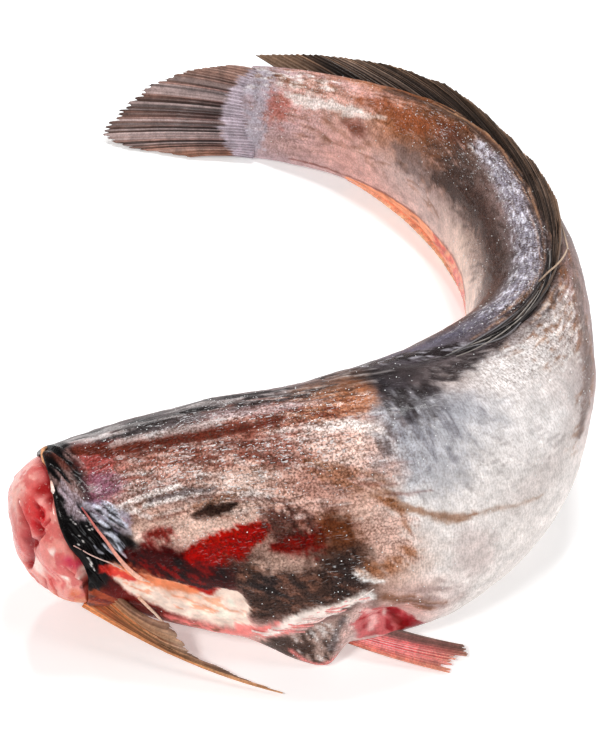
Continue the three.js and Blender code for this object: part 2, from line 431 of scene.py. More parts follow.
def newFinish(name):
    finish = bpy.data.materials.new(name)
    finish.use_nodes = True
    tree = finish.node_tree
    shader = tree.nodes["Principled BSDF"]
    coords = put(tree, "TexCoord").outputs["Object"]
    inMm = put(tree, "Mapping", {"Vector": coords, "Scale": (1 / mm, 1 / mm, 1 / mm)}).outputs[0]
    return finish, tree, shader, inMm


def setShader(shader, values):
    for key, value in values.items():
        shader.inputs[key].default_value = value


# skin: painted tint, then pigment grains, streaks, specks, pale flecks of frost and painted glints, and gloss
skinLook = {
    # mm that the map spans
    "uvLength": 420.0,
    "uvAround": 400.0,
    # noise: scale, detail, roughness
    "fine": (1.35, 3.0, 0.75),
    "mottle": (0.28, 3.0, 0.6),
    "clump": (0.13, 2.0, 0.6),
    "specks": (1.15, 1.5, 0.5),
    # noise drawn out on the map: scale, detail, roughness, stretch, turn
    "streak": (1.0, 3.0, 0.62, (0.10, 0.62, 1.0), -0.10),
    "upright": (1.0, 3.0, 0.62, (2.5, 0.40, 1.0), 0.15),
    "flecks": (1.0, 2.0, 0.6, (0.55, 1.7, 1.0), -0.45),
    "cellScale": 1.25,
    # ranges for ramps: from low, high, to low, high
    "cellRange": (0.20, 0.85, 1.0, 0.0),
    "grainRange": (0.38, 0.65),
    "driftRange": (0.28, 0.72, 0.84, 1.14),
    "speckRange": (0.56, 0.64),
    "fleckRange": (0.57, 0.63),
    "wetRange": (0, 1, 0.60, 0.16),
    "roughRange": (0.3, 0.7, -0.05, 0.08),
    # shares in the grain, of streaks along the body and of upright ones
    "cellShare": 0.13,
    "streakShare": (0.42, 0.74),
    "fineShare": (0.50, 0.18),
    "driftless": 0.85,
    "fleckShares": (0.72, 0.28),
    "gapTone": (0.34, 0.26, 0.22, 1),
    "crestTone": (1.42, 1.42, 1.44, 1),
    # colour of the pale flecks: frost and painted glints
    "fleckColour": (0.84, 0.82, 0.83, 1),
    "speckColour": (0.070, 0.042, 0.030, 1),
    "fullness": 1.09,
    # bump: streaks beside grains, height of both, height of the fine noise, strength
    "bump": (1.2, 0.20, 0.05, 0.8),
    "shader": {"Coat Weight": 0.11, "Coat Roughness": 0.12, "IOR": 1.42, "Specular IOR Level": 0.06},
}


def skinFinish():
    look = skinLook
    finish, tree, shader, inMm = newFinish("catfishSkin")
    uv = put(tree, "UVMap", uv_map="along").outputs[0]
    onSkin = put(tree, "Mapping", {"Vector": uv, "Scale": (look["uvLength"], look["uvAround"], 1)}).outputs[0]
    inSpace, alongSkin = ("fine", "mottle", "clump", "specks"), ("streak", "upright", "flecks")
    fine, mottle, clump, specks = [noiseAt(tree, inMm, *look[key]) for key in inSpace]
    streak, upright, flecks = [noiseAt(tree, onSkin, *look[key]) for key in alongSkin]
    stand = attribute(tree, "upright")
    streak = mixValue(tree, stand, streak, upright)
    cells = put(tree, "TexVoronoi", {"Vector": inMm, "Scale": look["cellScale"]}).outputs["Distance"]
    amount = attribute(tree, "grain")

    # pale grains with dark gaps, drawn out along the streaks
    grain = times(tree, ramp(tree, cells, *look["cellRange"]), look["cellShare"])
    grain = plus(tree, grain, times(tree, streak, mixValue(tree, stand, *look["streakShare"])))
    grain = plus(tree, grain, times(tree, fine, mixValue(tree, stand, *look["fineShare"])))
    grain = ramp(tree, grain, *look["grainRange"])
    tone = mixColour(tree, grain, look["gapTone"], look["crestTone"])
    tone = mixColour(tree, amount, (1, 1, 1, 1), tone)
    colour = mixColour(tree, 1.0, attribute(tree, "tint", "Color"), tone, "MULTIPLY")
    drift = mixValue(tree, times(tree, stand, look["driftless"]), ramp(tree, mottle, *look["driftRange"]), 1.0)
    colour = shaded(tree, colour, drift)
    dark = times(tree, ramp(tree, specks, *look["speckRange"]), attribute(tree, "speck"))
    colour = mixColour(tree, dark, colour, look["speckColour"])
    # pale flecks: frost and painted glints
    ofFlecks, ofClumps = look["fleckShares"]
    fleckField = plus(tree, times(tree, flecks, ofFlecks), times(tree, clump, ofClumps))
    light = times(tree, ramp(tree, fleckField, *look["fleckRange"]), attribute(tree, "fleck"))
    colour = mixColour(tree, light, colour, look["fleckColour"])
    colour = put(tree, "HueSaturation", {"Saturation": look["fullness"], "Color": colour}).outputs[0]
    tree.links.new(colour, shader.inputs["Base Color"])

    wet = ramp(tree, attribute(tree, "wet"), *look["wetRange"])
    rough = plus(tree, wet, ramp(tree, fine, *look["roughRange"]), clamp=True)
    tree.links.new(rough, shader.inputs["Roughness"])
    ofStreak, ofGrain, ofFine, strength = look["bump"]
    height = times(tree, plus(tree, grain, times(tree, streak, ofStreak)), amount)
    height = plus(tree, times(tree, height, ofGrain), times(tree, fine, ofFine))
    bumpOf(tree, shader, height, mm, strength)
    setShader(shader, look["shader"])
    return finish


# tones of skin and flesh, 0 to 255, listed and corrected against the photograph
tones = {
    "ink": (34, 28, 29), "gloss black": (9, 7, 8), "slate": (92, 82, 83), "blue black": (58, 55, 62),
    "warm grey": (146, 124, 120), "dusty pink": (176, 132, 120), "pink red": (160, 82, 78),
    "mauve": (132, 92, 112), "red brown": (92, 44, 35), "rust": (172, 116, 88), "tail rust": (152, 88, 62),
    "umber": (116, 76, 56), "cheek brown": (92, 52, 34), "slit brown": (40, 22, 17), "hatch brown": (78, 48, 42),
    "mauve grey": (188, 168, 172), "salmon": (218, 178, 164), "beige": (208, 176, 162),
    "inner beige": (240, 212, 198), "sand": (226, 194, 180), "chalk": (226, 220, 218),
    "pale belly": (230, 222, 218), "blue grey": (168, 168, 174), "lavender": (176, 171, 182),
    "slate blue": (128, 123, 134), "frost white": (232, 230, 240), "dark brown": (84, 66, 59),
    "soot": (60, 41, 34), "soot brown": (142, 100, 84), "grey brown": (134, 112, 108), "edge grey": (118, 98, 92),
    "cloud": (196, 184, 180), "blush": (216, 170, 162), "tail red": (176, 106, 96), "pink grey": (176, 146, 142),
    "inner grey": (204, 178, 172), "maroon": (58, 9, 10), "wine": (104, 22, 20), "edge wine": (96, 30, 28),
    "base rust": (166, 84, 62), "streak grey": (132, 124, 156), "tail grey": (174, 156, 162),
    "blood": (158, 22, 20), "cream": (255, 230, 216), "peach": (236, 148, 114), "flame": (216, 82, 78),
    "white": (248, 243, 240), "rose": (255, 152, 148), "flap grey": (164, 140, 130),
    "seam white": (255, 240, 232), "membrane": (242, 196, 192), "dark blood": (140, 36, 42),
    "fold pink": (226, 192, 186), "raw": (206, 108, 110), "brown": (128, 84, 58), "ice": (196, 200, 216),
    "bright ice": (228, 232, 246), "sheen": (176, 160, 168), "collar brown": (150, 122, 118),
    "tan": (205, 160, 128), "fin orange": (252, 170, 134), "ray brown": (150, 84, 62),
    "pale salmon": (238, 210, 198), "blue slate": (98, 94, 108), "loop brown": (150, 96, 66),
    "rim": (236, 168, 136),
}

# tone along a line of the body, by its angle from the back: + over the outer flank, - over the inner one
skinBands = {
    -155: {0: "rust", 30: "blush", 100: "pale belly", 200: "pale belly", 270: "beige", 330: "blush",
        400: "tail grey"},
    -125: {0: "red brown", 25: "blush", 90: "beige", 200: "pale belly", 260: "inner beige", 300: "inner grey",
        345: "blush", 385: "pink grey", 400: "tail grey"},
    # the dark browns and soot of the inner flank (lines -95 to -40, about 165 to 290 mm) are partly the skin's
    # own dark tone, partly painted shade of the side turned from the light
    -95: {0: "ink", 20: "dusty pink", 90: "warm grey", 150: "grey brown", 200: "dark brown", 216: "inner beige",
        262: "inner beige", 292: "inner grey", 320: "inner grey", 352: "blush", 400: "tail grey"},
    -62: {0: "ink", 18: "dusty pink", 80: "warm grey", 130: "grey brown", 165: "dark brown", 250: "soot",
        285: "soot", 308: "umber", 335: "rust", 350: "salmon", 378: "blush", 400: "tail grey"},
    -40: {0: "ink", 20: "warm grey", 100: "slate", 165: "dark brown", 200: "slate", 250: "grey brown",
        290: "dark brown", 315: "rust", 345: "blush", 375: "salmon", 400: "tail grey"},
    -20: {0: "slate", 30: "warm grey", 100: "slate", 128: "blue slate", 166: "blue slate", 190: "lavender",
        270: "lavender", 292: "umber", 320: "umber", 350: "blush", 400: "tail grey"},
    0: {0: "ink", 8: "slate", 40: "slate", 80: "warm grey", 97: "umber", 108: "ink", 140: "slate",
        250: "dark brown", 320: "umber", 350: "rust", 385: "blush", 400: "tail grey"},
    18: {0: "ink", 6: "slate", 14: "pink red", 24: "slate", 44: "slate", 60: "dusty pink", 84: "rust",
        100: "rust", 108: "blue black", 119: "slate", 131: "cloud", 142: "chalk", 184: "cloud", 204: "pink grey",
        218: "grey brown", 260: "dark brown", 330: "umber", 400: "tail grey"},
    40: {0: "ink", 8: "slate", 13: "pink red", 24: "dusty pink", 60: "dusty pink", 101: "salmon",
        105: "blue grey", 120: "blue grey", 140: "chalk", 170: "cloud", 190: "pink grey", 210: "grey brown",
        280: "dark brown", 350: "umber", 400: "tail grey"},
    62: {0: "gloss black", 8: "ink", 15: "mauve", 26: "dusty pink", 60: "beige", 85: "dusty pink", 102: "salmon",
        106: "blue grey", 125: "chalk", 150: "chalk", 170: "grey brown", 230: "grey brown", 340: "dusty pink",
        400: "tail grey"},
    84: {0: "gloss black", 14: "ink", 26: "beige", 60: "beige", 78: "dusty pink", 92: "beige", 104: "chalk",
        150: "pale belly", 185: "pink grey", 240: "grey brown", 340: "dusty pink", 400: "tail grey"},
    106: {0: "gloss black", 12: "maroon", 52: "maroon", 62: "soot", 88: "soot", 98: "beige", 112: "pale belly",
        180: "pale belly", 250: "beige", 340: "dusty pink", 400: "tail grey"},
    # on this line the wine from 12 to 40 mm is painted shadow between the cream strip and the pectoral fin
    135: {0: "red brown", 12: "wine", 40: "wine", 60: "blush", 88: "pink grey", 104: "blush", 116: "pale belly",
        200: "pale belly", 270: "beige", 340: "blush", 400: "tail grey"},
    165: {0: "rust", 20: "blush", 70: "blush", 100: "pale belly", 200: "pale belly", 270: "beige", 330: "blush",
        400: "tail grey"},
}


# marks over the bands, in the order in which they are laid on
def blob(name, tone, amount, place, **more):  # place: at, angle, length, spread, tilt
    return {"name": name, "kind": "blob", "tone": tone, "amount": amount, "place": place, **more}


def trail(name, tone, amount, *points, **more):  # points: at, angle, half width
    return {"name": name, "kind": "trail", "tone": tone, "amount": amount, "place": points, **more}


def area(name, tone, amount, *points, **more):  # points of its outline: at, angle
    return {"name": name, "kind": "area", "tone": tone, "amount": amount, "place": points, **more}


# lines: strokes that climb so many degrees a mm, their width and length in mm, where they begin and are full
skinMarks = [
    # streaks along the back of the belly half
    trail("back streaks", "ink", 0.75, (16, -4, 1.6), (30, 10, 2.4), (44, 4, 1.2), wet=0.7),
    trail("back streak two", "chalk", 0.55, (4, -8, 1.5), (16, 8, 2.2), (24, 14, 1.4)),
    trail("back streak three", "ink", 0.5, (40, -8, 1.2), (60, -2, 1.6), (86, -3, 1.0)),
    blob("back brown", "umber", 0.6, (90, 6, 11, 7, 0.2)),
    blob("back orange", "rust", 0.65, (90, 27, 13, 7, -0.1), fleck=0.4),
    # pale strokes along the upper flank are painted highlights of its small frozen wrinkles, the red-brown
    # strokes their painted shade
    area("flank strokes", "red brown", 0.65, (24, 22), (60, 20), (96, 22), (98, 42), (72, 56), (40, 52), (26, 42),
        lines=(0.35, 1.4, 6, -0.1, 0.45)),
    area("flank pale strokes", "chalk", 0.38, (20, 34), (60, 34), (98, 34), (100, 62), (80, 76), (40, 74),
        (20, 62), lines=(0.9, 1.3, 4.5, 0.15, 0.6)),
    area("back strokes", "ink", 0.85, (8, -16), (60, -14), (100, -12), (100, 10), (46, 16), (12, 16),
        lines=(0.12, 1.4, 9, 0.0, 0.45)),
    area("back pale strokes", "chalk", 0.55, (8, -16), (60, -14), (100, -12), (100, 10), (60, 12), (12, 8),
        lines=(0.12, 1.3, 9, 0.2, 0.6)),
    trail("pale brow", "white", 0.7, (80, 38, 2.0), (92, 38, 2.6), (100, 44, 2.2), (103, 56, 1.6)),
    blob("shoulder red", "pink red", 0.8, (15, 27, 6, 12, 0.4), fleck=0.3),
    blob("shoulder mauve", "mauve", 0.7, (16, 50, 5, 9, 0.6), fleck=0.4),
    trail("brown furrow", "red brown", 0.96, (9, 14, 2.2), (18, 22, 3.0), (26, 29, 3.2), (40, 31, 2.8),
        (56, 32, 2.6), (70, 29, 1.2), fleck=0.1, grain=0.7),
    # pale crest beside the furrow: painted highlight
    trail("furrow crest", "chalk", 0.6, (20, 20, 1.2), (34, 24, 1.6), (48, 25, 1.6), (62, 20, 1.2)),
    blob("shoulder grey", "mauve grey", 0.6, (66, 18, 18, 5, 0.05), fleck=0.5),
    blob("red flank", "red brown", 0.42, (68, 48, 13, 8, 0.5)),
    blob("salmon flank", "pale salmon", 0.7, (90, 52, 11, 10, 0.2)),
    trail("brown flank", "brown", 0.55, (80, 58, 2.0), (90, 68, 3.6), (98, 76, 2.6), ragged=1.8,
        lines=(1.2, 1.5, 6, -0.6, 0.1)),
    blob("grey wrinkle bed", "warm grey", 0.6, (34, 66, 14, 6, 0.2)),
    # white crests of these wrinkles are painted highlights, the slate line beside them painted shade
    trail("wrinkle highlight", "white", 0.75, (20, 67, 0.7), (30, 65, 1.1), (40, 62, 0.8)),
    trail("wrinkle highlight two", "white", 0.8, (28, 71, 0.7), (38, 69, 1.0), (48, 67, 0.7)),
    trail("wrinkle shade", "slate", 0.7, (30, 68.5, 0.8), (42, 66.5, 0.9), (52, 66, 0.6)),
    trail("slit", "slit brown", 0.95, (45, 80, 0.9), (48, 79, 1.9), (54, 76.5, 2.0), (58, 74.5, 0.8), wet=0.6,
        fleck=0.0, soft=0.35),
    trail("slit lip", "umber", 0.6, (45, 74.5, 0.8), (52, 72, 1.0), (58, 70.5, 0.7)),
    blob("sand under slit", "sand", 0.85, (46, 86, 19, 6, -0.1), fleck=0.4, speck=0.25, grain=0.6),
    trail("pale fork", "salmon", 0.7, (72, 70, 1.4), (78, 78, 2.2), (82, 84, 1.6)),
    # dark skin behind the cut, with bluish streaks of painted highlight
    area("black collar", "gloss black", 0.96, (-1, -14), (4, -12), (8, 8), (10, 30), (9.5, 52), (11, 70),
        (21, 84), (26, 92), (16, 98), (8, 118), (-1, 132), wet=1.0, grain=0.3, fleck=0.0, speck=0.0, soft=2.4,
        ragged=0.7),
    # pale streaks and the grey patch on the collar's folds: painted sheen
    area("collar streaks", "collar brown", 0.85, (0.3, -10), (4, -8), (9, 12), (11, 30), (11, 46), (9.5, 58),
        (4, 52), (1.2, 36), (0.3, 12), wet=0.8, grain=0.9, upright=1.0, lines=(6.6, 1.0, 12, -0.05, 0.35)),
    area("collar sheen", "sheen", 0.9, (3.6, 38), (7.4, 48), (9.0, 58), (8.6, 68), (5.0, 70), (2.4, 58),
        (2.2, 46), wet=0.7, grain=0.8, upright=1.0, soft=1.0, lines=(6.0, 1.1, 9, -0.45, 0.15)),
    area("collar red", "red brown", 0.6, (0.6, 4), (6, 14), (9, 30), (7, 34), (3, 24),
        lines=(6.6, 1.8, 10, 0.05, 0.5)),
    # bluish-white streaks on the wet black collar and the bluish bed under them: painted highlights
    area("streak bed", "streak grey", 0.7, (10, 58), (16, 60), (22, 71), (22, 82), (16, 83), (11, 72), wet=0.8,
        grain=0.5, soft=2.0, ragged=1.6, lines=(2.2, 1.5, 6, -0.2, 0.35)),
    trail("blue highlight four", "ice", 0.75, (11.5, 72, 0.8), (14, 82, 1.3), (18, 92, 0.8), wet=0.9, soft=0.5,
        ragged=1.5),
    trail("blue highlight five", "ice", 0.8, (12.5, 64, 0.7), (16, 72, 1.2), (21, 80, 0.7), wet=0.9, soft=0.35,
        ragged=1.5),
    trail("blue highlight", "lavender", 0.8, (9, 60, 1.2), (14, 66, 1.8), (22, 74, 1.2), wet=0.9, soft=0.6,
        ragged=1.2),
    trail("blue highlight two", "lavender", 0.7, (10, 70, 1.0), (15, 76, 1.5), (22, 84, 1.1), wet=0.9, soft=0.6,
        ragged=1.2),
    trail("blue highlight three", "chalk", 0.6, (17, 66, 0.8), (24, 72, 1.2), (30, 78, 0.8), wet=0.8, soft=0.35,
        ragged=1.5),
    blob("pink island", "pale salmon", 0.85, (26, 88, 3.5, 3, 0.3)),
    # blood and bare flesh of the belly side
    area("maroon field", "maroon", 0.97, (14, 94), (24, 92), (36, 93), (46, 97), (54, 99), (60, 102), (58, 112),
        (50, 117), (40, 113), (30, 108), (20, 103), wet=0.9, grain=0.5, fleck=0.03, soft=1.2),
    area("maroon strokes", "blood", 0.6, (16, 96), (26, 94), (38, 95), (52, 100), (57, 106), (50, 114), (38, 110),
        (24, 104), wet=0.9, lines=(1.2, 1.3, 6, 0.15, 0.5)),
    area("maroon shade", "gloss black", 0.7, (16, 96), (26, 94), (38, 95), (52, 100), (57, 106), (50, 114),
        (38, 110), (24, 104), wet=0.9, lines=(1.2, 1.6, 5, 0.05, 0.45)),
    blob("wine blotch", "wine", 0.85, (33, 88, 6, 4, 0.0), wet=0.8, fleck=0.1, lines=(1.2, 1.5, 5, -0.7, 0.0)),
    trail("bright blood", "blood", 0.96, (44, 97, 2.0), (52, 94, 3.4), (60, 91, 3.6), (66, 86.5, 2.0), wet=0.9,
        fleck=0.12, soft=0.35),
    trail("blood shade", "wine", 0.5, (42, 98, 2.0), (52, 95.5, 2.6), (60, 93, 2.2), (65, 89, 1.2),
        lines=(-0.6, 1.6, 6, -0.1, 0.5)),
    area("hatch", "hatch brown", 0.96, (65, 77), (72, 75), (78, 81), (83, 87), (84, 93), (76, 96), (70, 92),
        (66, 86), speck=0.5, lines=(3.0, 1.2, 4, -0.55, 0.1)),
    trail("bright blood two", "wine", 0.9, (69, 93, 1.2), (74, 94.5, 2.4), (80, 93, 2.8), (83, 88, 1.6), wet=0.9,
        fleck=0.05, soft=0.6, ragged=1.5),
    blob("brown cheek", "cheek brown", 0.96, (86.5, 92, 4.8, 9, 0.6), wet=0.6, fleck=0.15, ragged=1.4),
    area("sooty field", "soot", 0.95, (56, 101), (62, 99), (70, 103), (78, 104), (83, 97), (90, 94), (92, 106),
        (89, 116), (82, 122), (72, 128), (64, 134), (61, 124), (60, 116), wet=0.7, grain=1.0, fleck=0.1,
        soft=3.0),
    blob("sooty heart", "ink", 0.75, (68, 111, 7, 5, 0.2)),
    blob("sooty heart two", "ink", 0.5, (87, 108, 4, 8, 0.2), fleck=0.5),
    area("soot strokes", "soot brown", 0.65, (58, 103), (64, 101), (72, 105), (80, 105), (88, 100), (89, 114),
        (80, 121), (70, 127), (63, 128), lines=(0.8, 1.6, 4, 0.1, 0.6)),
    blob("sandy island", "beige", 0.75, (71, 100.5, 7.5, 4.2, 0.0), speck=0.5, ragged=1.8),
    area("cream strip", "cream", 1.0, (11, 103), (14, 101), (20, 105), (30, 109.5), (42, 114.5), (49, 118),
        (53, 114), (60, 117), (62.5, 125), (61, 133), (63, 143), (56, 148), (46, 147), (36, 143), (26, 136),
        (17, 128), (12, 117), wet=0.9, grain=0.05, fleck=0.0, speck=0.0, soft=0.6, ragged=0.5),
    trail("strip blush", "peach", 1.0, (14, 107, 2.6), (22, 111, 3.6), (32, 115, 3.0), (46, 119, 1.4),
        ragged=1.2),
    area("strip veins", "peach", 0.6, (14, 108), (30, 113), (46, 119), (60, 120), (60, 142), (36, 140), (16, 124),
        lines=(1.0, 1.5, 6, 0.25, 0.6)),
    blob("strip stain", "peach", 0.25, (38, 122, 12, 5, 0.6)),
    trail("strip red", "flame", 0.9, (8.5, 104, 1.2), (12, 108, 2.2), (16, 111.5, 1.8), (21, 115, 0.8), wet=0.95,
        ragged=1.5),
    trail("strip red edge", "blood", 0.9, (44, 115.5, 0.7), (50, 118.5, 1.1), (53, 115, 0.7)),
    # dark wine edge below the cream strip: painted shadow between the strip and the pectoral fin
    trail("strip lower shadow", "edge wine", 0.85, (4, 127, 1.6), (16, 135, 2.0), (26, 141, 1.8), (36, 147, 1.0),
        wet=0.9, ragged=1.6),
    trail("strip lower pink", "rose", 0.85, (34, 148, 1.0), (42, 151, 2.2), (50, 152.5, 2.6), (60, 153, 2.4),
        wet=0.9, grain=0.1, fleck=0.0, ragged=1.2),
    trail("strip lower brown", "umber", 0.8, (38, 150, 1.6), (46, 152, 1.8), (54, 152, 1.4),
        lines=(0.6, 1.4, 4, 0.1, 0.5)),
    area("fin base", "base rust", 0.9, (-1, 118), (5, 120), (10, 128), (16, 140), (18, 158), (8, 162), (-1, 156),
        wet=0.8, grain=0.3, fleck=0.0, soft=1.5, lines=(2.0, 1.4, 7, -0.35, 0.35)),
    area("torn pink", "rose", 0.9, (58, 143), (65, 138), (72, 131), (78, 126), (80, 130), (72, 140), (67, 149),
        (58, 150), wet=0.9, grain=0.06, fleck=0.0, soft=0.8),
    trail("torn white", "seam white", 0.97, (66, 146.5, 0.8), (69, 140, 1.4), (73, 131, 1.9), (78, 126, 2.3),
        (83, 123, 2.0), (88, 118.5, 1.3), grain=0.05, fleck=0.0, soft=0.3),
    area("flap", "flap grey", 0.9, (69, 150), (76, 138), (84, 130), (90, 124), (92, 130), (88, 150), (84, 166),
        (74, 168), (64, 160), fleck=0.2, grain=0.6, soft=1.0, upright=0.8),
    area("flap shade", "soot", 0.9, (64, 156), (68, 148), (74, 146), (77, 154), (74, 164), (66, 166), ragged=1.4,
        comb=1.0),
    area("flap streaks", "soot", 0.9, (70, 148), (78, 138), (86, 130), (88, 148), (84, 164), (74, 166),
        lines=(5.0, 1.1, 8, -0.1, 0.3)),
    area("flap light", "chalk", 0.75, (72, 146), (80, 136), (88, 130), (88, 148), (84, 162), (76, 164),
        lines=(5.0, 1.0, 7, 0.1, 0.45)),
    trail("flap rim", "rose", 0.75, (73, 157, 0.8), (77, 163, 1.1), (80.5, 164.5, 1.3), (84, 161, 1.0)),
    trail("flap fold", "fold pink", 0.75, (91, 120, 1.4), (89, 132, 2.4), (87, 146, 2.2), (85, 158, 1.4)),
    trail("fold shade", "slate", 0.6, (86, 130, 0.7), (84.5, 142, 1.1), (83, 154, 0.8), comb=1.0),
    blob("white spot", "white", 0.95, (91, 117.5, 2.4, 2.4, 0.0), soft=0.3),
    trail("white spot two", "white", 0.9, (89.5, 106, 1.0), (92, 109, 1.5), (95, 110.5, 0.9), soft=0.3),
    blob("loop bed", "salmon", 0.6, (97, 93, 6, 10, 0.4), grain=0.9, ragged=1.8),
    trail("brown loop", "loop brown", 0.72, (97, 79, 1.1), (101, 85, 1.2), (103, 92, 1.5), (102.5, 98, 1.8),
        (99, 104, 2.0), (94.5, 106.5, 2.2), (90, 104, 1.4), ragged=1.8, grain=0.8,
        lines=(2.0, 1.3, 5, -0.8, -0.1)),
    area("fin pit", "raw", 0.9, (91, 126), (95, 126), (99, 136), (103, 148), (105, 158), (98, 160), (90, 158),
        (88, 142), wet=1.0, grain=0.2, fleck=0.0, soft=1.0),
    trail("fin pit red", "dark blood", 0.85, (98, 140, 1.0), (101, 147, 2.0), (104, 153, 2.2), (108, 158, 1.4),
        wet=1.0, ragged=1.8),
    area("fin pit spots", "dark blood", 0.7, (90, 128), (96, 130), (102, 146), (100, 158), (90, 156),
        lines=(4.0, 1.6, 4, 0.2, 0.55)),
    trail("pit pink", "membrane", 0.8, (92, 128, 1.0), (94.5, 140, 1.5), (93.5, 152, 1.2), ragged=1.6),
    # dark wine deep in the fin pit: painted shade in the hollow
    trail("pit hole shade", "wine", 0.6, (99, 146, 0.8), (101, 152, 1.5), (102, 158, 1.4), wet=1.0, soft=0.7),
    trail("pit glint", "seam white", 0.7, (95.5, 136, 0.3), (97, 142, 0.7), (96.5, 147, 0.4), soft=0.5,
        ragged=2.0),
    trail("pit shade", "umber", 0.85, (96, 120, 1.6), (102, 126, 2.8), (108, 134, 2.4), comb=1.0,
        lines=(0.8, 1.4, 6, -0.8, -0.1)),
    # side and belly of the bend
    blob("blue grey side", "blue grey", 0.6, (110, 56, 12, 22, 0.2)),
    area("black blotch", "ink", 0.9, (108, 15), (116, 17), (124, 21), (121, 31), (117, 40), (111, 43), (106, 38),
        (106, 26), wet=0.7, ragged=1.3, comb=1.4, soft=2.6, lines=(30.0, 1.4, 7, -1.0, -0.3)),
    trail("blotch shade", "slate", 0.7, (107, 38, 2.4), (104, 47, 2.8), (101, 57, 1.8), comb=1.6,
        lines=(30.0, 1.3, 6, -0.4, 0.3)),
    blob("blue shade", "blue grey", 0.5, (122, 36, 10, 12, 0.6), comb=1.2),
    trail("blue band", "ink", 0.75, (116, 26, 2.2), (126, 15, 3.4), (136, 9, 3.0), (147, 5, 2.2), (156, 4, 1.2),
        wet=0.7, comb=1.4, ragged=1.6, lines=(0.8, 1.6, 6, -0.7, 0.1)),
    area("blue strokes", "blue black", 0.35, (104, 34), (116, 36), (128, 30), (132, 44), (122, 66), (108, 70),
        lines=(30.0, 1.2, 8, 0.15, 0.6)),
    trail("belly shade", "cloud", 0.5, (132, 92, 4.0), (146, 82, 5.0), (156, 68, 4.0), soft=0.9),
    trail("black ridge", "ink", 0.95, (108, -14, 2.2), (117, -14, 3.6), (128, -11, 3.8), (140, -7, 3.2),
        (150, -3, 2.4), (160, -1, 1.2), wet=0.8, ragged=1.6, soft=0.4),
    trail("ridge streaks", "frost white", 0.6, (104, -12, 2.0), (120, -12, 3.8), (140, -6, 3.4), (156, -2, 1.6),
        lines=(0.3, 1.1, 4, 0.2, 0.5)),
    trail("brown line", "brown", 0.65, (99, 80, 1.0), (101.5, 83, 1.0), (106, 87, 1.0), (110.5, 90, 1.0),
        (115, 92, 0.9), (119, 91.5, 0.5), ragged=1.3, soft=0.7),
    trail("faint line", "brown", 0.35, (118, 91.5, 0.5), (125, 92, 0.5), (131, 94, 0.4), (138, 95, 0.3),
        ragged=1.8, soft=0.8),
    area("side brown", "brown", 0.6, (150, 84), (160, 62), (174, 36), (188, 10), (206, 6), (222, 20), (200, 40),
        (180, 60), (168, 78), (156, 92), soft=3.0, lines=(0.0, 1.5, 4.5, -0.05, 0.45)),
    # darker grey along the outer contour of the bend: painted shade where the side turns away
    trail("side edge shade", "edge grey", 0.9, (158, 82, 2.0), (166, 66, 3.0), (176, 50, 3.6), (190, 34, 3.4),
        (208, 24, 2.6), ragged=1.6, soft=0.9),
    area("speckled back", "brown", 0.55, (150, 8), (170, 4), (190, 2), (206, 6), (196, 26), (176, 40), (156, 36),
        soft=3.0, lines=(0.6, 1.4, 2.8, 0.15, 0.5)),
    area("white strokes", "white", 0.6, (140, 10), (170, 6), (196, 6), (196, 28), (172, 50), (146, 44), soft=3.0,
        lines=(0.6, 1.3, 3.2, 0.1, 0.5)),
    blob("white back", "chalk", 0.5, (150, 24, 14, 10, 0.0), speck=0.45),
    blob("belly cloud", "pink grey", 0.25, (118, 108, 5, 12, 0.2)),
    blob("belly cloud two", "grey brown", 0.55, (107, 126, 9, 10, 0.4), lines=(1.0, 1.4, 6, -0.6, 0.2)),
    # tail half
    trail("lavender sheen", "slate blue", 0.6, (160, -22, 4.0), (200, -22, 5.5), (250, -22, 5.5), (284, -20, 3.0),
        fleck=0.5),
    area("sheen glitter", "frost white", 0.8, (166, -32), (200, -36), (250, -36), (286, -32), (286, -12),
        (200, -10), (166, -14), soft=2.0, lines=(1.2, 1.3, 2.6, 0.15, 0.5)),
    # dark band along the inner flank: partly the skin's own dark tone, partly painted shade where the flank turns
    # from the light
    trail("dark side", "soot", 0.85, (185, -48, 3.0), (215, -56, 5.0), (245, -63, 5.0), (275, -72, 3.5),
        (298, -80, 2.0), ragged=1.6),
    blob("tail red brown", "red brown", 0.4, (304, -36, 11, 11, 0.0), ragged=1.8),
    blob("tail orange", "tail rust", 0.75, (330, -46, 20, 13, 0.1), ragged=1.7),
    area("tail strokes", "umber", 0.3, (290, -100), (320, -110), (360, -110), (388, -90), (386, -40), (350, -24),
        (310, -24), (288, -50), soft=3.0, lines=(-2.4, 1.2, 5, 0.1, 0.55)),
    blob("tail stain", "red brown", 0.5, (349, -77, 6, 8, 0.0)),
    blob("inner shade", "slate", 0.45, (314, -84, 13, 10, 0.3), ragged=1.6),
    # pale cream streaks on the tail side: painted highlights
    trail("tail painted highlight", "white", 0.75, (348, -58, 0.8), (359, -62, 1.6), (374, -65, 1.9), (384, -64, 1.0),
        ragged=1.7),
    trail("tail painted highlight two", "white", 0.55, (336, -56, 0.6), (346, -62, 1.0), (356, -68, 0.7), ragged=1.7),
    blob("tail patch", "tail red", 0.7, (386, -78, 7, 16, 0.0), ragged=2.0),
    trail("tail end", "lavender", 0.75, (397, -180, 4.0), (394, -90, 4.5), (397, 0, 4.0), ragged=2.0),
    area("tail frost", "white", 0.65, (362, -50), (384, -56), (400, -60), (400, -20), (380, -14), (360, -20),
        soft=2.0, lines=(1.5, 1.3, 2.8, -0.05, 0.4)),
    area("tail specks", "umber", 0.6, (362, -48), (384, -54), (400, -58), (400, -16), (380, -10), (360, -16),
        soft=2.0, lines=(-2.0, 1.2, 3.0, 0.15, 0.5)),
    # blue-white patch at the tail end: painted highlight
    blob("tail end highlight", "frost white", 0.7, (399, -118, 3.0, 12, 0.0), ragged=1.6),
    trail("tail back", "dark brown", 0.7, (275, -6, 2.0), (310, -10, 2.4), (342, -10, 1.6)),
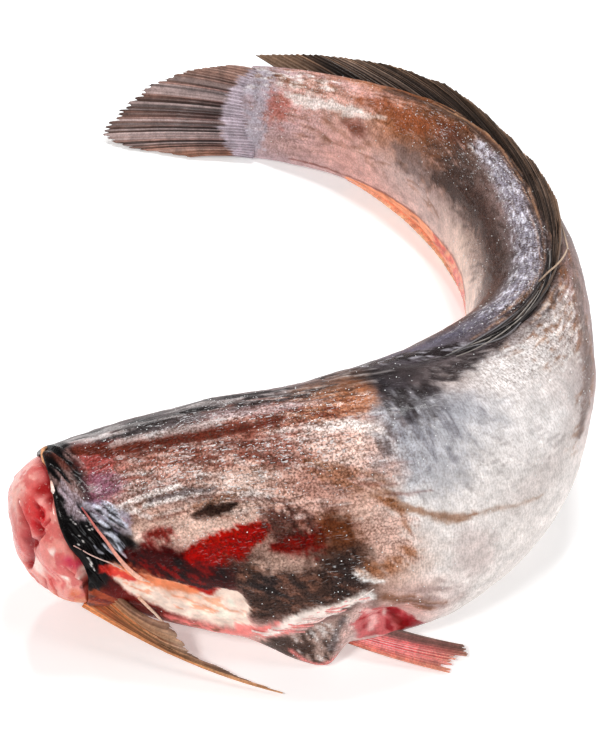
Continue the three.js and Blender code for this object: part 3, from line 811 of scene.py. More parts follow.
    area("fin foot", "fin orange", 0.95, (180, -168), (204, -150), (224, -132), (240, -113), (252, -110.5),
        (263, -114.5), (282, -121.5), (307, -131), (323, -137), (350, -149), (350, -160), (307, -167),
        (260, -170), (204, -174), wet=0.8, grain=0.1, fleck=0.0, speck=0.0, soft=0.6, ragged=0.4),
    area("fin foot red", "flame", 0.85, (190, -164), (224, -134), (240, -114), (252, -112), (266, -117),
        (292, -127), (300, -152), (260, -168), (200, -170), soft=2.0, lines=(-3.0, 1.5, 9, -0.35, 0.3)),
    area("fin foot rays", "ray brown", 0.5, (190, -164), (224, -136), (240, -118), (252, -116), (282, -126),
        (320, -140), (345, -152), (300, -164), (220, -168), soft=1.5, lines=(-3.0, 1.4, 10, 0.15, 0.5)),
    trail("fin foot edge", "red brown", 0.5, (238, -112, 0.4), (252, -110, 0.6), (282, -121, 0.5),
        (307, -130.5, 0.5), (323, -136.5, 0.6), (352, -146, 0.7), (376, -148, 0.5), soft=0.9, ragged=1.6),
]

# wrinkles strewn over a field: a raised crest painted pale (painted highlight), a sunk trough beside it painted
# dark (painted shade)
skinWrinkles = {
    "flank": {"count": 90, "seed": 31, "at": (8, 100), "angle": (5, 84), "length": (6, 20), "slope": (-0.3, 0.35),
        "width": (0.35, 0.85), "crest": ("chalk", 0.42), "trough": ("red brown", 0.4), "apart": 2.4, "rise": 0.3},
    "back": {"count": 34, "seed": 47, "at": (4, 98), "angle": (-16, 14), "length": (8, 24),
        "slope": (-0.15, 0.25), "width": (0.4, 0.9), "crest": ("chalk", 0.45), "trough": ("ink", 0.55),
        "apart": 3.0, "rise": 0.3},
    "side": {"count": 60, "seed": 53, "at": (100, 150), "angle": (20, 84), "length": (1.0, 4),
        "slope": (2.0, 4.0), "width": (0.35, 0.7), "crest": ("white", 0.35), "trough": ("slate", 0.25),
        "apart": -2.0, "rise": 0.15},
    "sheen": {"count": 120, "seed": 9, "at": (160, 288), "angle": (-36, -10), "length": (2, 6),
        "slope": (-1.6, 1.6), "width": (0.3, 0.7), "crest": ("chalk", 0.4), "trough": ("blue black", 0.4),
        "apart": 3.0, "rise": 0.22},
    "ridge": {"count": 46, "seed": 77, "at": (150, 330), "angle": (-12, 8), "length": (10, 34),
        "slope": (-0.1, 0.1), "width": (0.4, 0.9), "crest": ("tan", 0.45), "trough": ("ink", 0.6), "apart": 3.5,
        "rise": 0.3},
    "tail": {"count": 90, "seed": 61, "at": (285, 394), "angle": (-110, -12), "length": (4, 14),
        "slope": (-0.8, 0.4), "width": (0.35, 0.8), "crest": ("salmon", 0.4), "trough": ("umber", 0.38),
        "apart": 4.0, "rise": 0.18},
    "inner": {"count": 70, "seed": 67, "at": (175, 300), "angle": (-92, -40), "length": (4, 12),
        "slope": (-1.6, -0.4), "width": (0.35, 0.8), "crest": ("warm grey", 0.35), "trough": ("soot", 0.5),
        "apart": 4.0, "rise": 0.15},
    # collar and glints: bluish-white and white painted highlights on the wet black collar
    "collar": {"count": 26, "seed": 5, "at": (8, 17), "angle": (60, 90), "length": (2, 6), "slope": (1.2, 2.6),
        "width": (0.35, 0.9), "crest": ("bright ice", 0.65), "trough": ("gloss black", 0.65), "apart": 3.0,
        "rise": 0.5, "over": True},
    "glints": {"count": 16, "seed": 35, "at": (0.5, 9), "angle": (56, 100), "length": (0.6, 1.8), "slope": (2, 6),
        "width": (0.1, 0.22), "crest": ("white", 0.95), "trough": ("gloss black", 0.5), "beside": 0.6,
        "rise": 0.25, "over": True},
}

# how the surface lies over wide fields: pigment grain, upright streaks, pale flecks of frost and painted glints,
# dark specks and wet gloss, each an amount everywhere and blobs (at, angle, length, spread, amount)
skinFields = {
    "grain": [0.3, (55, 45, 55, 52, 0.7), (70, 100, 40, 26, 0.2), (180, 14, 52, 30, 0.3),
        (225, -18, 80, 20, 0.65), (315, -40, 60, 45, 0.3), (380, -60, 22, 90, 0.25), (240, -62, 60, 24, 0.3),
        (140, 105, 46, 60, -0.04)],
    "upright": [0.0, (138, 75, 40, 75, 1.0), (125, 130, 50, 40, 0.6), (335, -80, 55, 45, 0.8),
        (255, -95, 45, 30, 0.8)],
    "fleck": [0.08, (55, 38, 48, 40, 0.64), (225, -22, 75, 20, 0.65), (150, 45, 40, 45, 0.08),
        (300, -40, 40, 30, 0.25), (375, -40, 30, 60, 0.3)],
    "speck": [0.03, (60, 48, 46, 45, 0.6), (182, 18, 40, 26, 0.5), (225, -12, 75, 12, 0.65),
        (130, 60, 30, 60, 0.08), (310, -35, 30, 30, 0.35)],
    "wet": [0.45, (10, 70, 18, 70, 0.45), (230, -60, 60, 40, 0.25), (60, 100, 50, 25, 0.25)],
}

# how painted edges waver and fade
brush = {
    # noise: size in mm, seed, reach in mm
    "alongWaver": ((5.0, 11, 2.2), (13.0, 29, 4.0)),
    "aroundWaver": ((5.0, 57, 1.2), (14.0, 71, 2.1)),
    "leastPerDegree": 0.2,
    "fieldEdge": (0.55, 1.25),
    "crumbs": (1.6, 180, 2),
    # by kind of mark: where its edge lies, its softness, how far it is ragged
    "edges": {"blob": (1, 0.5, 0.35), "trail": (1, 0.6, 0.45), "area": (0, 1.4, 1.1)},
    # noise of ragged edges: octaves, then size in mm, first seed, reach
    "edgeOctaves": 2,
    "ragged": ((3.4, 200, 0.7), (1.1, 300, 0.7)),
    "comb": (1.5, 350), "combStretch": 0.22,
    "strokeSeed": 400,
    # wrinkles: bend in degrees, width at the ends, reach of the crumbs, edge, mm of rings before and after
    "bend": 1.5, "wrinkleEnd": 0.3, "wrinkleCrumbs": 0.5, "wrinkleEdge": (0.3, 1.5), "wrinkleRings": (8, 4),
    # last unevenness of the tint: reach and noise, noise with its reach
    "fineMottle": (0.07, (2.4, 5, 2)), "wideMottle": (5.0, 11, 0.06),
}

skinBody = {
    "columns": 236,
    "edgeStep": 0.5,
    "edgeTo": 27,
    "fineStep": 0.75,
    "fineTo": 126,
    "coarseRings": 206,
    # degrees by which columns crowd to the side that shows, and the angle that is hidden
    "gather": 20.0,
    "hiddenNear": 250.0,
    "hiddenFar": 100.0,
    "hiddenTurns": (120, 240),
    # skin drawn back from the cut: angle and mm, fading out along the body
    "edgeBack": [(-180, 0), (-60, 0), (-20, 0.6), (5, 1.3), (25, 1.2), (43, 0.6), (58, 0.1), (84, 0.3), (97, 2.8),
                 (106, 3.1), (125, 1.5), (150, 0), (180, 0)],
    "edgeFade": 26,
    # rim of skin round the cut: shift along the spine, depth below the skin, share of the rim's tone
    "rim": [(4.0, 4.2, 0.1), (1.5, 2.7, 0.3), (0.2, 1.8, 0.8), (-0.5, 1.1, 0.6), (-0.5, 0.35, 0.1)],
    "rimLap": (71, 18, 1.3),  # it laps over the flesh: angle, spread, share
    "rimRagged": (6.0, 301, 0.35),
    "rimLight": 0.2,
    "rimGlow": [(36, 12, 0.7), (96, 12, 0.4)],
    "tailRings": 6,
    "tailLength": 5.0,
    "mapStart": (0.02, 0.5),
    "mapLead": 6,  # mm of the map before the cut
}


def bodyGrid():
    look = skinBody
    s = np.concatenate([
        np.arange(0, look["edgeTo"], look["edgeStep"]),
        np.arange(look["edgeTo"], look["fineTo"], look["fineStep"]),
        np.linspace(look["fineTo"], body["length"], look["coarseRings"]),
    ])[:, None]
    theta = np.linspace(-180, 180, look["columns"] + 1)[None, :]
    hidden = look["hiddenNear"] + (look["hiddenFar"] - look["hiddenNear"]) * smooth(s, *look["hiddenTurns"])
    angle = theta + look["gather"] * np.sin(np.radians(theta - hidden))
    return s + through(look["edgeBack"], wrap(angle)) * (1 - smooth(s, 0, look["edgeFade"])), angle


def gridValues(s, angle):  # what the brushes need of each point of the grid
    plain = skinPoint(s, angle)
    deep = (along("above", s) + along("below", s)) / 2
    perDegree = 2 * math.pi * np.sqrt((along("half", s) ** 2 + deep ** 2) / 2) / 360
    return {
        "s": s, "angle": angle, "plain": plain, "perDegree": perDegree,
        "crumbs": fractal(plain, *brush["crumbs"]),
        "standing": np.stack([s, brush["combStretch"] * angle * perDegree, 0 * s], -1),
    }


def bandTint(s, angle):
    lines = sorted(skinBands)
    rows = [toneAt({at: tones[name] for at, name in skinBands[line].items()}, s) for line in lines]
    lines = [lines[-1] - 360] + lines + [lines[0] + 360]
    rows = [rows[-1]] + rows + [rows[0]]
    tint = np.zeros(s.shape + (3,))
    for k in range(len(lines) - 1):
        inside = (angle >= lines[k]) & (angle < lines[k + 1])
        t = ((angle - lines[k]) / (lines[k + 1] - lines[k]))[..., None]
        tint = np.where(inside[..., None], rows[k] + (rows[k + 1] - rows[k]) * t, tint)
    return tint


def fieldValues(s, angle):
    fields = {}
    for key, (least, *spots) in skinFields.items():
        fields[key] = np.full(s.shape, least)
        for at, middle, length, spread, amount in spots:
            r = np.hypot((s - at) / length, wrap(angle - middle) / spread)
            fields[key] = np.clip(fields[key] + amount * (1 - smooth(r, *brush["fieldEdge"])), 0, 1)
    return fields


def toTrail(grid, points, rows=slice(None)):  # distance from a trail, in half widths
    s, angle, perDegree = [grid[key][rows] for key in ("s", "angle", "perDegree")]
    best = np.full(s.shape, far)
    for (s0, a0, w0), (s1, a1, w1) in zip(points, points[1:]):
        ax, ay = s - s0, wrap(angle - a0) * perDegree
        bx, by = s1 - s0, (a1 - a0) * perDegree
        t = np.clip((ax * bx + ay * by) / (bx * bx + by * by), 0, 1)
        best = np.minimum(best, np.hypot(ax - bx * t, ay - by * t) / (w0 + (w1 - w0) * t))
    return best


def toArea(grid, points):  # distance from an outline in mm, less than 0 inside
    s, perDegree = grid["s"], grid["perDegree"]
    best = np.full(s.shape, far)
    inside = np.zeros(s.shape, bool)
    middle = sum(a for _, a in points) / len(points)
    y = wrap(grid["angle"] - middle) * perDegree
    for (s0, a0), (s1, a1) in zip(points, points[1:] + points[:1]):
        y0, y1 = (a0 - middle) * perDegree, (a1 - middle) * perDegree
        bx, by = s1 - s0, y1 - y0
        t = np.clip(((s - s0) * bx + (y - y0) * by) / (bx * bx + by * by), 0, 1)
        best = np.minimum(best, np.hypot(s - s0 - bx * t, y - y0 - by * t))
        crosses = (y0 > y) != (y1 > y)
        inside ^= crosses & (s < s0 + bx * (y - y0) / np.where(np.abs(by) < tiny, tiny, by))
    return np.where(inside, -best, best)


def toBlob(grid, place):  # distance from the middle of a blob, in its own radius
    at, middle, length, spread, tilt = place
    ds = grid["s"] - at
    return np.hypot(ds / length, wrap(grid["angle"] - middle - tilt * ds) / spread)


def strokes(grid, slope, wide, long, seed):  # noise drawn out along lines that climb so many degrees a mm
    s, turned = grid["s"], grid["perDegree"] * grid["angle"]
    lean = slope * grid["perDegree"]
    size = np.hypot(1, lean)
    across = (lean * s - turned) / size
    onward = (s + lean * turned) / size
    return fractal(np.stack([across / wide, onward / long, 0 * across], -1), 1.0, seed)


def markMask(grid, mark, k):
    measure = {"blob": toBlob, "trail": toTrail, "area": toArea}[mark["kind"]]
    edge, soft, reach = brush["edges"][mark["kind"]]
    soft, octaves = mark.get("soft", soft), brush["edgeOctaves"]
    ragged = sum(share * fractal(grid["plain"], size, seed + k, octaves) for size, seed, share in brush["ragged"])
    ragged = mark.get("ragged", 1.0) * ragged
    if "comb" in mark:  # edge drawn out round the body
        size, seed = brush["comb"]
        ragged = ragged + mark["comb"] * fractal(grid["standing"], size, seed + k, octaves)
    mask = 1 - smooth(measure(grid, mark["place"]) + reach * ragged, edge - soft, edge + soft)
    if "lines" in mark:
        slope, wide, long, low, high = mark["lines"]
        mask = mask * smooth(strokes(grid, slope, wide, long, brush["strokeSeed"] + k), low, high)
    return mask


def addWrinkles(grid, look, tint, swell):
    draw = np.random.default_rng(look["seed"])
    before, after = brush["wrinkleRings"]
    beside, apart = look.get("beside", 0), look.get("apart", 0)
    end = brush["wrinkleEnd"]
    for _ in range(look["count"]):
        ranges = [look[key] for key in ("at", "angle", "length", "slope", "width")]
        at, turn, length, slope, width = [draw.uniform(*limits) for limits in ranges]
        bend = draw.uniform(-brush["bend"], brush["bend"])
        rows = slice(*np.searchsorted(grid["s"][:, 0], (at - before, at + length + after)))
        # crest raised and painted pale (painted highlight), trough sunk and painted dark (painted shade)
        for sign, ds, da, (tone, amount) in ((1, 0, 0, look["crest"]), (-1, beside, apart, look["trough"])):
            path = [(at + ds + u * length, turn + da + u * slope * length + off, width * w)
                    for u, off, w in ((0, 0, end), (0.5, bend, 1.0), (1, 0, end))]
            r = toTrail(grid, path, rows) + brush["wrinkleCrumbs"] * grid["crumbs"][rows]
            mask = amount * (1 - smooth(r, *brush["wrinkleEdge"]))
            tint[rows] = stain(tint[rows], tones[tone], mask)
            swell[rows] += sign * look["rise"] * mask


def paintGrid(s, angle):
    grid = gridValues(s, angle)
    plain = grid["plain"]
    perDegree = np.maximum(grid["perDegree"], brush["leastPerDegree"])
    alongSkin = s + layered(plain, brush["alongWaver"])
    aroundSkin = angle + layered(plain, brush["aroundWaver"]) / perDegree
    tint = bandTint(alongSkin, wrap(aroundSkin))
    fields = fieldValues(alongSkin, aroundSkin)

    masks = {"wrinkles": np.zeros(s.shape)}
    for look in skinWrinkles.values():
        if "over" not in look:
            addWrinkles(grid, look, tint, masks["wrinkles"])
    for k, mark in enumerate(skinMarks):
        mask = masks[mark["name"]] = markMask(grid, mark, k)
        tint = stain(tint, tones[mark["tone"]], mask * mark["amount"])
        for key in fields:
            if key in mark:
                fields[key] = fields[key] + (mark[key] - fields[key]) * mask
    for look in skinWrinkles.values():
        if "over" in look:
            addWrinkles(grid, look, tint, masks["wrinkles"])
    reach, noise = brush["fineMottle"]
    mottle = 1 + reach * fractal(plain, *noise) + layered(plain, [brush["wideMottle"]])
    return plain, np.clip(tint * mottle[..., None], *tintLimits), fields, masks


# relief finer than the solid's, in mm
skinRelief = {
    "lumps": ((26.0, 3, 0.55), (9.0, 17, 0.22), (3.4, 31, 0.10)),
    "shoulder": (3, 9, 8, 22, 2.0),  # at, length, angle, spread, rise
    # mask: rise
    "rises": {
        "wrinkles": 1.0, "slit": -1.7, "collar streaks": 0.4, "collar sheen": 0.4, "brown furrow": -0.7,
        "furrow crest": 0.35, "wrinkle highlight": 0.45, "wrinkle highlight two": 0.45, "wrinkle shade": -0.45,
    },
    "strip": (0.7, 0.5),  # depth, share filled again at its lower edge
    "torn": (0.7, 0.6, 0.4, (2.4, 77, 2)),  # rise, even share, uneven share, noise
    "sootGrain": (0.28, (1.8, 91, 2)),
    # folds of the collar: height, pitch, slant in mm a degree, from angle, waver, noise, mm to full height
    "collar": (0.5, 4.2, 0.22, 60, 1.4, (7.0, 45), 3),
    "groove": (0.8, -2, 5, (104, 130)),  # beside the fin on the back: depth, angle, spread, begins
}


def fineRelief(s, angle, plain, masks):
    look = skinRelief
    rise = layered(plain, look["lumps"])
    at, length, middle, spread, height = look["shoulder"]
    rise += height * bell((s - at) / length) * bell((wrap(angle) - middle) / spread)
    for name, height in look["rises"].items():
        rise += height * masks[name]
    depth, filled = look["strip"]
    rise -= depth * masks["cream strip"] * (1 - filled * masks["strip lower shadow"])
    height, even, uneven, noise = look["torn"]
    rise += height * masks["torn white"] * (even + uneven * fractal(plain, *noise))
    height, noise = look["sootGrain"]
    rise += height * masks["sooty field"] * fractal(plain, *noise)
    height, pitch, slant, start, waver, noise, full = look["collar"]
    folds = np.sin(2 * math.pi * (s - slant * (angle - start)) / pitch + waver * fractal(plain, *noise))
    rise += height * folds * masks["black collar"] * smooth(s, 0, full)
    depth, middle, spread, begins = look["groove"]
    return rise - depth * bell((wrap(angle) - middle) / spread) * smooth(s, *begins)


def rimRings(s, angle, plain, rise, tint):  # rim of skin rolled in at the cut
    look = skinBody
    middle, spread, share = look["rimLap"]
    over = 1 + share * bell((angle - middle) / spread) + layered(plain, [look["rimRagged"]])
    lit = look["rimLight"] + sum(glow * bell((angle - at) / wide) for at, wide, glow in look["rimGlow"])
    rings, tints = [], []
    for shift, depth, toned in look["rim"]:
        rings.append(skinPoint(s, angle, rise - depth, shift * np.where(shift < 0, over, 1)))
        tints.append(stain(tint, tones["rim"], toned * lit))
    return np.array(rings), np.array(tints)


def tailRings(angle):  # tail end rounded off inside the tail fin
    look = skinBody
    st = station(np.full(angle.shape, float(body["length"])))
    side, up = outline(st, angle)
    side = side * (1 - body["endThinner"])
    rings = []
    for k in range(1, look["tailRings"]):
        turn = 0.5 * math.pi * k / look["tailRings"]
        rings.append(placed(st, side * math.cos(turn), up * math.cos(turn), look["tailLength"] * math.sin(turn)))
    rings = np.array(rings)
    rings[..., 2] = np.maximum(rings[..., 2], 0)
    return rings


def skinMap(rings, ringAt, turned):  # for the pattern that follows the skin: along it, and round it from the back
    look = skinBody
    rows, columns = turned.shape[0], turned.shape[1] - 1
    walked = np.cumsum(np.linalg.norm(np.diff(rings, axis=1), axis=2), 1)
    walked = np.concatenate([np.zeros((rows, 1)), walked], 1)
    middle = np.array([np.interp(0, row, way) for row, way in zip(turned, walked)])
    uMap = look["mapStart"][0] + (ringAt + look["mapLead"]) / skinLook["uvLength"]
    vMap = look["mapStart"][1] + (walked - middle[:, None]) / skinLook["uvAround"]
    i, j = np.arange(rows - 1)[:, None], np.arange(columns)

    def corner(row, column):
        return np.stack([np.broadcast_to(uMap[row], (rows - 1, columns)), vMap[row, column]], -1)

    def fan(row):
        across = np.stack([vMap[row, :-1], vMap[row, 1:], vMap[row, :-1]], -1)
        return np.stack([np.full(across.shape, uMap[row]), across], -1).reshape(-1, 2)

    quads = np.stack([corner(i, j), corner(i, j + 1), corner(i + 1, j + 1), corner(i + 1, j)], 2).reshape(-1, 2)
    return np.concatenate([quads, fan(0), fan(-1)])


def buildSkin(finish):
    s, angle = bodyGrid()
    plain, tint, fields, masks = paintGrid(s, angle)
    rise = fineRelief(s, angle, plain, masks)
    rim, rimTint = rimRings(s[0], angle[0], plain[0], rise[0], tint[0])
    caps = tailRings(angle[-1])

    def withEnds(values):  # first and last ring again for the rim and the tail end
        return np.concatenate([np.repeat(values[:1], len(rim), 0), values, np.repeat(values[-1:], len(caps), 0)])

    rings = np.concatenate([rim, skinPoint(s, angle, rise), caps])
    tint = withEnds(tint)
    tint[:len(rim)] = rimTint
    tint = linear(tint)
    beyond = np.arange(1, len(caps) + 1)
    ringAt = np.concatenate([np.linspace(-skinBody["mapLead"], -1, len(rim)), s[:, 0], body["length"] + beyond])

    # the last column closes on the first, and a pole closes each end
    rows, columns = len(rings), rings.shape[1] - 1
    size = rows * columns
    poles = np.array([rings[0, :-1].mean(0), rings[-1, :-1].mean(0)])
    points = np.concatenate([rings[:, :-1].reshape(-1, 3), poles])
    faces = gridFaces(rows, columns, True).tolist()
    faces += fanFaces(0, columns, size, inward=True) + fanFaces(size - columns, columns, size + 1)
    values = {"tint": np.concatenate([tint[:, :-1].reshape(-1, 3), tint[[0, -1], 0]])}
    for key in fields:
        data = withEnds(fields[key])
        values[key] = np.concatenate([data[:, :-1].ravel(), data[[0, -1], 0]])
    piece = makePiece("skinBody", points, faces, values, finish, skinMap(rings, ringAt, withEnds(angle)))
    ride(piece)
    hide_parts("catfish")
    return piece


# flesh of the cut: a swollen face with lobes, pits and creases, placed on a round map of the face
cutFlesh = {
    "steps": 120,
    "around": 300,
    "bulge": 16.5, "sag": 2, "inset": 0.955, "gutter": 2.0, "fullness": 0.7,
    "trim": (128, 60, 0.38),  # the swelling is less towards the belly side: angle, spread, share
    "wall": (8.5, 0.08, 0.15),  # flesh that runs back under the skin: mm, share of the way in, narrower by
    "raise": (8, 22, 0.055),  # the upper corner stands up with the shoulder: angle, spread, share
    "lowest": 0.2,
    # noise on the map: size, seed, octaves
    "rough": (0.22, 401), "grain": (0.07, 431, 2), "unevenX": (0.16, 451), "unevenY": (0.16, 461),
    "veinNoise": (0.11, 471),
    "roughRise": 0.45, "grainRise": 0.20, "uneven": 0.05, "riseFrom": (0.0, 0.12),
    # map x, y, radius x, radius y, rise in mm
    "lobes": [(0.18, 0.55, 0.3, 0.3, 1.0), (0.1, 0.15, 0.18, 0.34, 0.6), (0.6, 0.0, 0.34, 0.24, 1.5),
        (0.35, -0.45, 0.3, 0.24, 0.8), (0.91, -0.26, 0.1, 0.13, 1.0), (0.46, 0.56, 0.05, 0.05, 0.9),
        (0.5, 0.51, 0.04, 0.04, 0.8), (0.6, 0.33, 0.05, 0.06, 0.7), (-0.45, 0.3, 0.4, 0.35, 1.0),
        (-0.35, -0.45, 0.4, 0.35, 1.0), (-0.75, -0.1, 0.25, 0.35, 1.0)],
    # paths on the map with half width, depth in mm
    "creases": [
        ([(-0.06, 0.9, 0.03), (0.31, 0.82, 0.06), (0.5, 0.7, 0.07), (0.59, 0.6, 0.06), (0.63, 0.5, 0.03)], 3.4),
        ([(0.2, 0.42, 0.015), (0.25, 0.3, 0.03), (0.3, 0.18, 0.04), (0.22, 0.05, 0.04), (0.16, -0.03, 0.03),
          (0.05, -0.11, 0.03)], 2.4),
        ([(0.66, 0.38, 0.015), (0.56, 0.2, 0.025), (0.44, 0.12, 0.03), (0.32, 0.08, 0.03)], 1.5),
        ([(0.17, -0.23, 0.02), (0.12, -0.34, 0.03), (0.04, -0.45, 0.02)], 1.3),
        ([(0.3, -0.22, 0.015), (0.27, -0.37, 0.025), (0.2, -0.5, 0.02)], 1.0),
        ([(0.78, -0.1, 0.015), (0.8, -0.2, 0.02), (0.84, -0.34, 0.02)], 0.9),
        ([(-0.1, 0.05, 0.03), (-0.35, -0.02, 0.05), (-0.62, 0.08, 0.04)], 2.0),
        ([(-0.05, -0.2, 0.03), (0.05, -0.5, 0.04), (-0.02, -0.8, 0.03)], 1.2),
    ],
    # map x, y, radius, depth in mm
    "pits": [(0.53, 0.39, 0.045, 1.6), (0.5, 0.25, 0.06, 2.4), (0.32, 0.08, 0.04, 1.4), (0.24, 0.03, 0.035, 1.2),
        (0.47, 0.46, 0.03, 1.0), (-0.42, 0.02, 0.05, 1.4)],
    # colour spots: x, y, radius, tone, amount
    "spots": [(0.15, 0.52, 0.3, (240, 184, 174), 0.85), (0.12, 0.15, 0.2, (206, 104, 100), 0.5),
        (0.3, 0.62, 0.1, (214, 84, 80), 0.5), (0.36, 0.45, 0.13, (216, 84, 80), 0.75),
        (0.46, 0.56, 0.05, (252, 216, 206), 0.85), (0.5, 0.51, 0.04, (250, 206, 196), 0.8),
        (0.47, 0.34, 0.19, (214, 62, 62), 0.85), (0.5, 0.25, 0.09, (196, 10, 20), 0.95),
        (0.53, 0.39, 0.08, (206, 18, 28), 0.95), (0.32, 0.08, 0.05, (140, 22, 22), 0.85),
        (0.24, 0.03, 0.05, (132, 30, 28), 0.7), (0.44, 0.7, 0.12, (150, 14, 14), 0.9),
        (0.6, 0.58, 0.07, (110, 6, 8), 0.9), (0.6, 0.33, 0.05, (248, 180, 172), 0.7),
        (0.57, 0.04, 0.24, (230, 132, 126), 0.75), (0.71, 0.05, 0.075, (253, 234, 226), 0.92),
        (0.21, -0.09, 0.085, (252, 226, 216), 0.9), (0.64, -0.2, 0.06, (253, 236, 228), 0.9),
        (0.91, -0.26, 0.1, (250, 222, 208), 0.95), (0.87, -0.1, 0.09, (190, 34, 70), 0.95),
        (0.76, -0.06, 0.09, (212, 92, 112), 0.55), (0.25, -0.3, 0.1, (220, 76, 70), 0.65),
        (0.42, -0.22, 0.1, (240, 140, 130), 0.5), (0.16, -0.6, 0.22, (228, 128, 84), 0.9),
        (0.36, -0.72, 0.22, (224, 126, 76), 0.95), (0.6, -0.6, 0.16, (222, 122, 78), 0.9),
        (0.86, -0.47, 0.06, (66, 20, 18), 0.7), (0.62, -0.5, 0.1, (214, 104, 70), 0.8),
        (0.31, -0.23, 0.07, (212, 60, 58), 0.7), (0.62, -0.31, 0.08, (250, 196, 180), 0.7),
        (0.5, -0.3, 0.05, (206, 62, 60), 0.6), (0.07, -0.52, 0.04, (255, 246, 240), 0.8),
        (-0.5, 0.3, 0.35, (228, 154, 144), 0.5), (-0.4, -0.4, 0.35, (238, 176, 160), 0.5),
        (-0.7, -0.2, 0.16, (250, 222, 210), 0.6)],
    "lobeEdge": (0.35, 1.15),
    "spotEdge": (0.25, 1.3), "spotRagged": 0.35,
    # creaseDark: depth in mm at which the painted shade in a crease is darkest
    "creaseEdge": 0.9, "creaseRagged": 0.25, "creaseDark": 2.2,  # mm of depth at which it is darkest
    "pitRagged": 0.2,
    "base": (232, 148, 138),
    "edge": ((150, 40, 34), 0.75, (0.02, 0.16)),  # tone, amount, share of the way in
    # sunk: tone laid into creases and pits by their depth, partly the flesh's own deeper red, partly painted
    # shade
    "sunk": ((140, 8, 14), 0.88),
    "veins": ((204, 70, 70), 0.45, (0.08, 0.50)),
}
fleshLook = {
    # noise: scale, detail, roughness, stretch
    "fibre": (0.55, 3.0, 0.6, (1.0, 1.0, 0.45)),
    "grain": (1.9, 2.0, 0.6),
    "fat": (0.85, 2.0, 0.55),
    # ranges for ramps: from low, high, to low, high
    "fibreRange": (0.3, 0.7, 0.90, 1.06),
    "grainRange": (0.3, 0.7, 0.96, 1.03),
    "fatRange": (0.60, 0.72, 0.0, 0.22),
    "roughRange": (0.3, 0.7, 0.24, 0.42),
    "fatColour": (0.90, 0.62, 0.54, 1),
    "bump": (0.35, 0.10, 0.7),  # of fibres, of grain, strength
    "shader": {
        "Coat Weight": 0.35, "Coat Roughness": 0.07, "IOR": 1.40, "Specular IOR Level": 0.1,
        "Subsurface Weight": 0.10, "Subsurface Scale": 0.002, "Subsurface Radius": (1.0, 0.35, 0.2),
    },
}


def fleshFinish():
    look = fleshLook
    finish, tree, shader, inMm = newFinish("cutFlesh")
    fibre, grain, fat = [noiseAt(tree, inMm, *look[key]) for key in ("fibre", "grain", "fat")]
    shade = times(tree, ramp(tree, fibre, *look["fibreRange"]), ramp(tree, grain, *look["grainRange"]))
    colour = shaded(tree, attribute(tree, "tint", "Color"), shade)
    colour = mixColour(tree, ramp(tree, fat, *look["fatRange"]), colour, look["fatColour"])
    tree.links.new(colour, shader.inputs["Base Color"])
    tree.links.new(ramp(tree, grain, *look["roughRange"]), shader.inputs["Roughness"])
    ofFibre, ofGrain, strength = look["bump"]
    bumpOf(tree, shader, plus(tree, times(tree, fibre, ofFibre), times(tree, grain, ofGrain)), mm, strength)
    setShader(shader, look["shader"])
    return finish


def toCrease(x, y, path):  # distance from a path on the face, in half widths
    best = np.full(x.shape, far)
    for (x0, y0, w0), (x1, y1, w1) in zip(path, path[1:]):
        bx, by = x1 - x0, y1 - y0
        t = np.clip(((x - x0) * bx + (y - y0) * by) / (bx * bx + by * by), 0, 1)
        best = np.minimum(best, np.hypot(x - x0 - bx * t, y - y0 - by * t) / (w0 + (w1 - w0) * t))
    return best


def fleshSurface(x, y, t):  # rise in mm and tint on the map of the face
    look = cutFlesh
    flat = np.stack([x, y, 0 * x], -1)
    rough = fractal(flat, *look["rough"])
    rise = look["roughRise"] * rough + look["grainRise"] * fractal(flat, *look["grain"])
    xUneven = x + look["uneven"] * fractal(flat, *look["unevenX"])
    yUneven = y + look["uneven"] * fractal(flat, *look["unevenY"])
    for cx, cy, rx, ry, height in look["lobes"]:
        r = np.hypot((xUneven - cx) / rx, (yUneven - cy) / ry)
        rise = rise + height * (1 - smooth(r, *look["lobeEdge"]))
    tint = np.empty(x.shape + (3,))
    tint[:] = look["base"]
    tone, amount, reach = look["edge"]
    tint = stain(tint, tone, amount * (1 - smooth(t, *reach)))
    for cx, cy, radius, tone, amount in look["spots"]:
        r = np.hypot(xUneven - cx, yUneven - cy) / radius + look["spotRagged"] * rough
        tint = stain(tint, tone, amount * (1 - smooth(r, *look["spotEdge"])))
    tone, amount, reach = look["veins"]
    tint = stain(tint, tone, amount * smooth(fractal(flat, *look["veinNoise"]), *reach))

    # creases and pits darkened by their depth: painted shade over the flesh's deeper red
    sunk = np.zeros(x.shape)
    for path, depth in look["creases"]:
        cleft = bell((toCrease(x, y, path) + look["creaseRagged"] * rough) / look["creaseEdge"])
        rise = rise - depth * cleft
        sunk = np.maximum(sunk, cleft * min(1.0, depth / look["creaseDark"]))
    for cx, cy, radius, depth in look["pits"]:
        hole = bell(np.hypot(x - cx, y - cy) / radius + look["pitRagged"] * rough)
        rise = rise - depth * hole
        sunk = np.maximum(sunk, hole)
    tone, amount = look["sunk"]
    return rise, stain(tint, tone, amount * sunk)


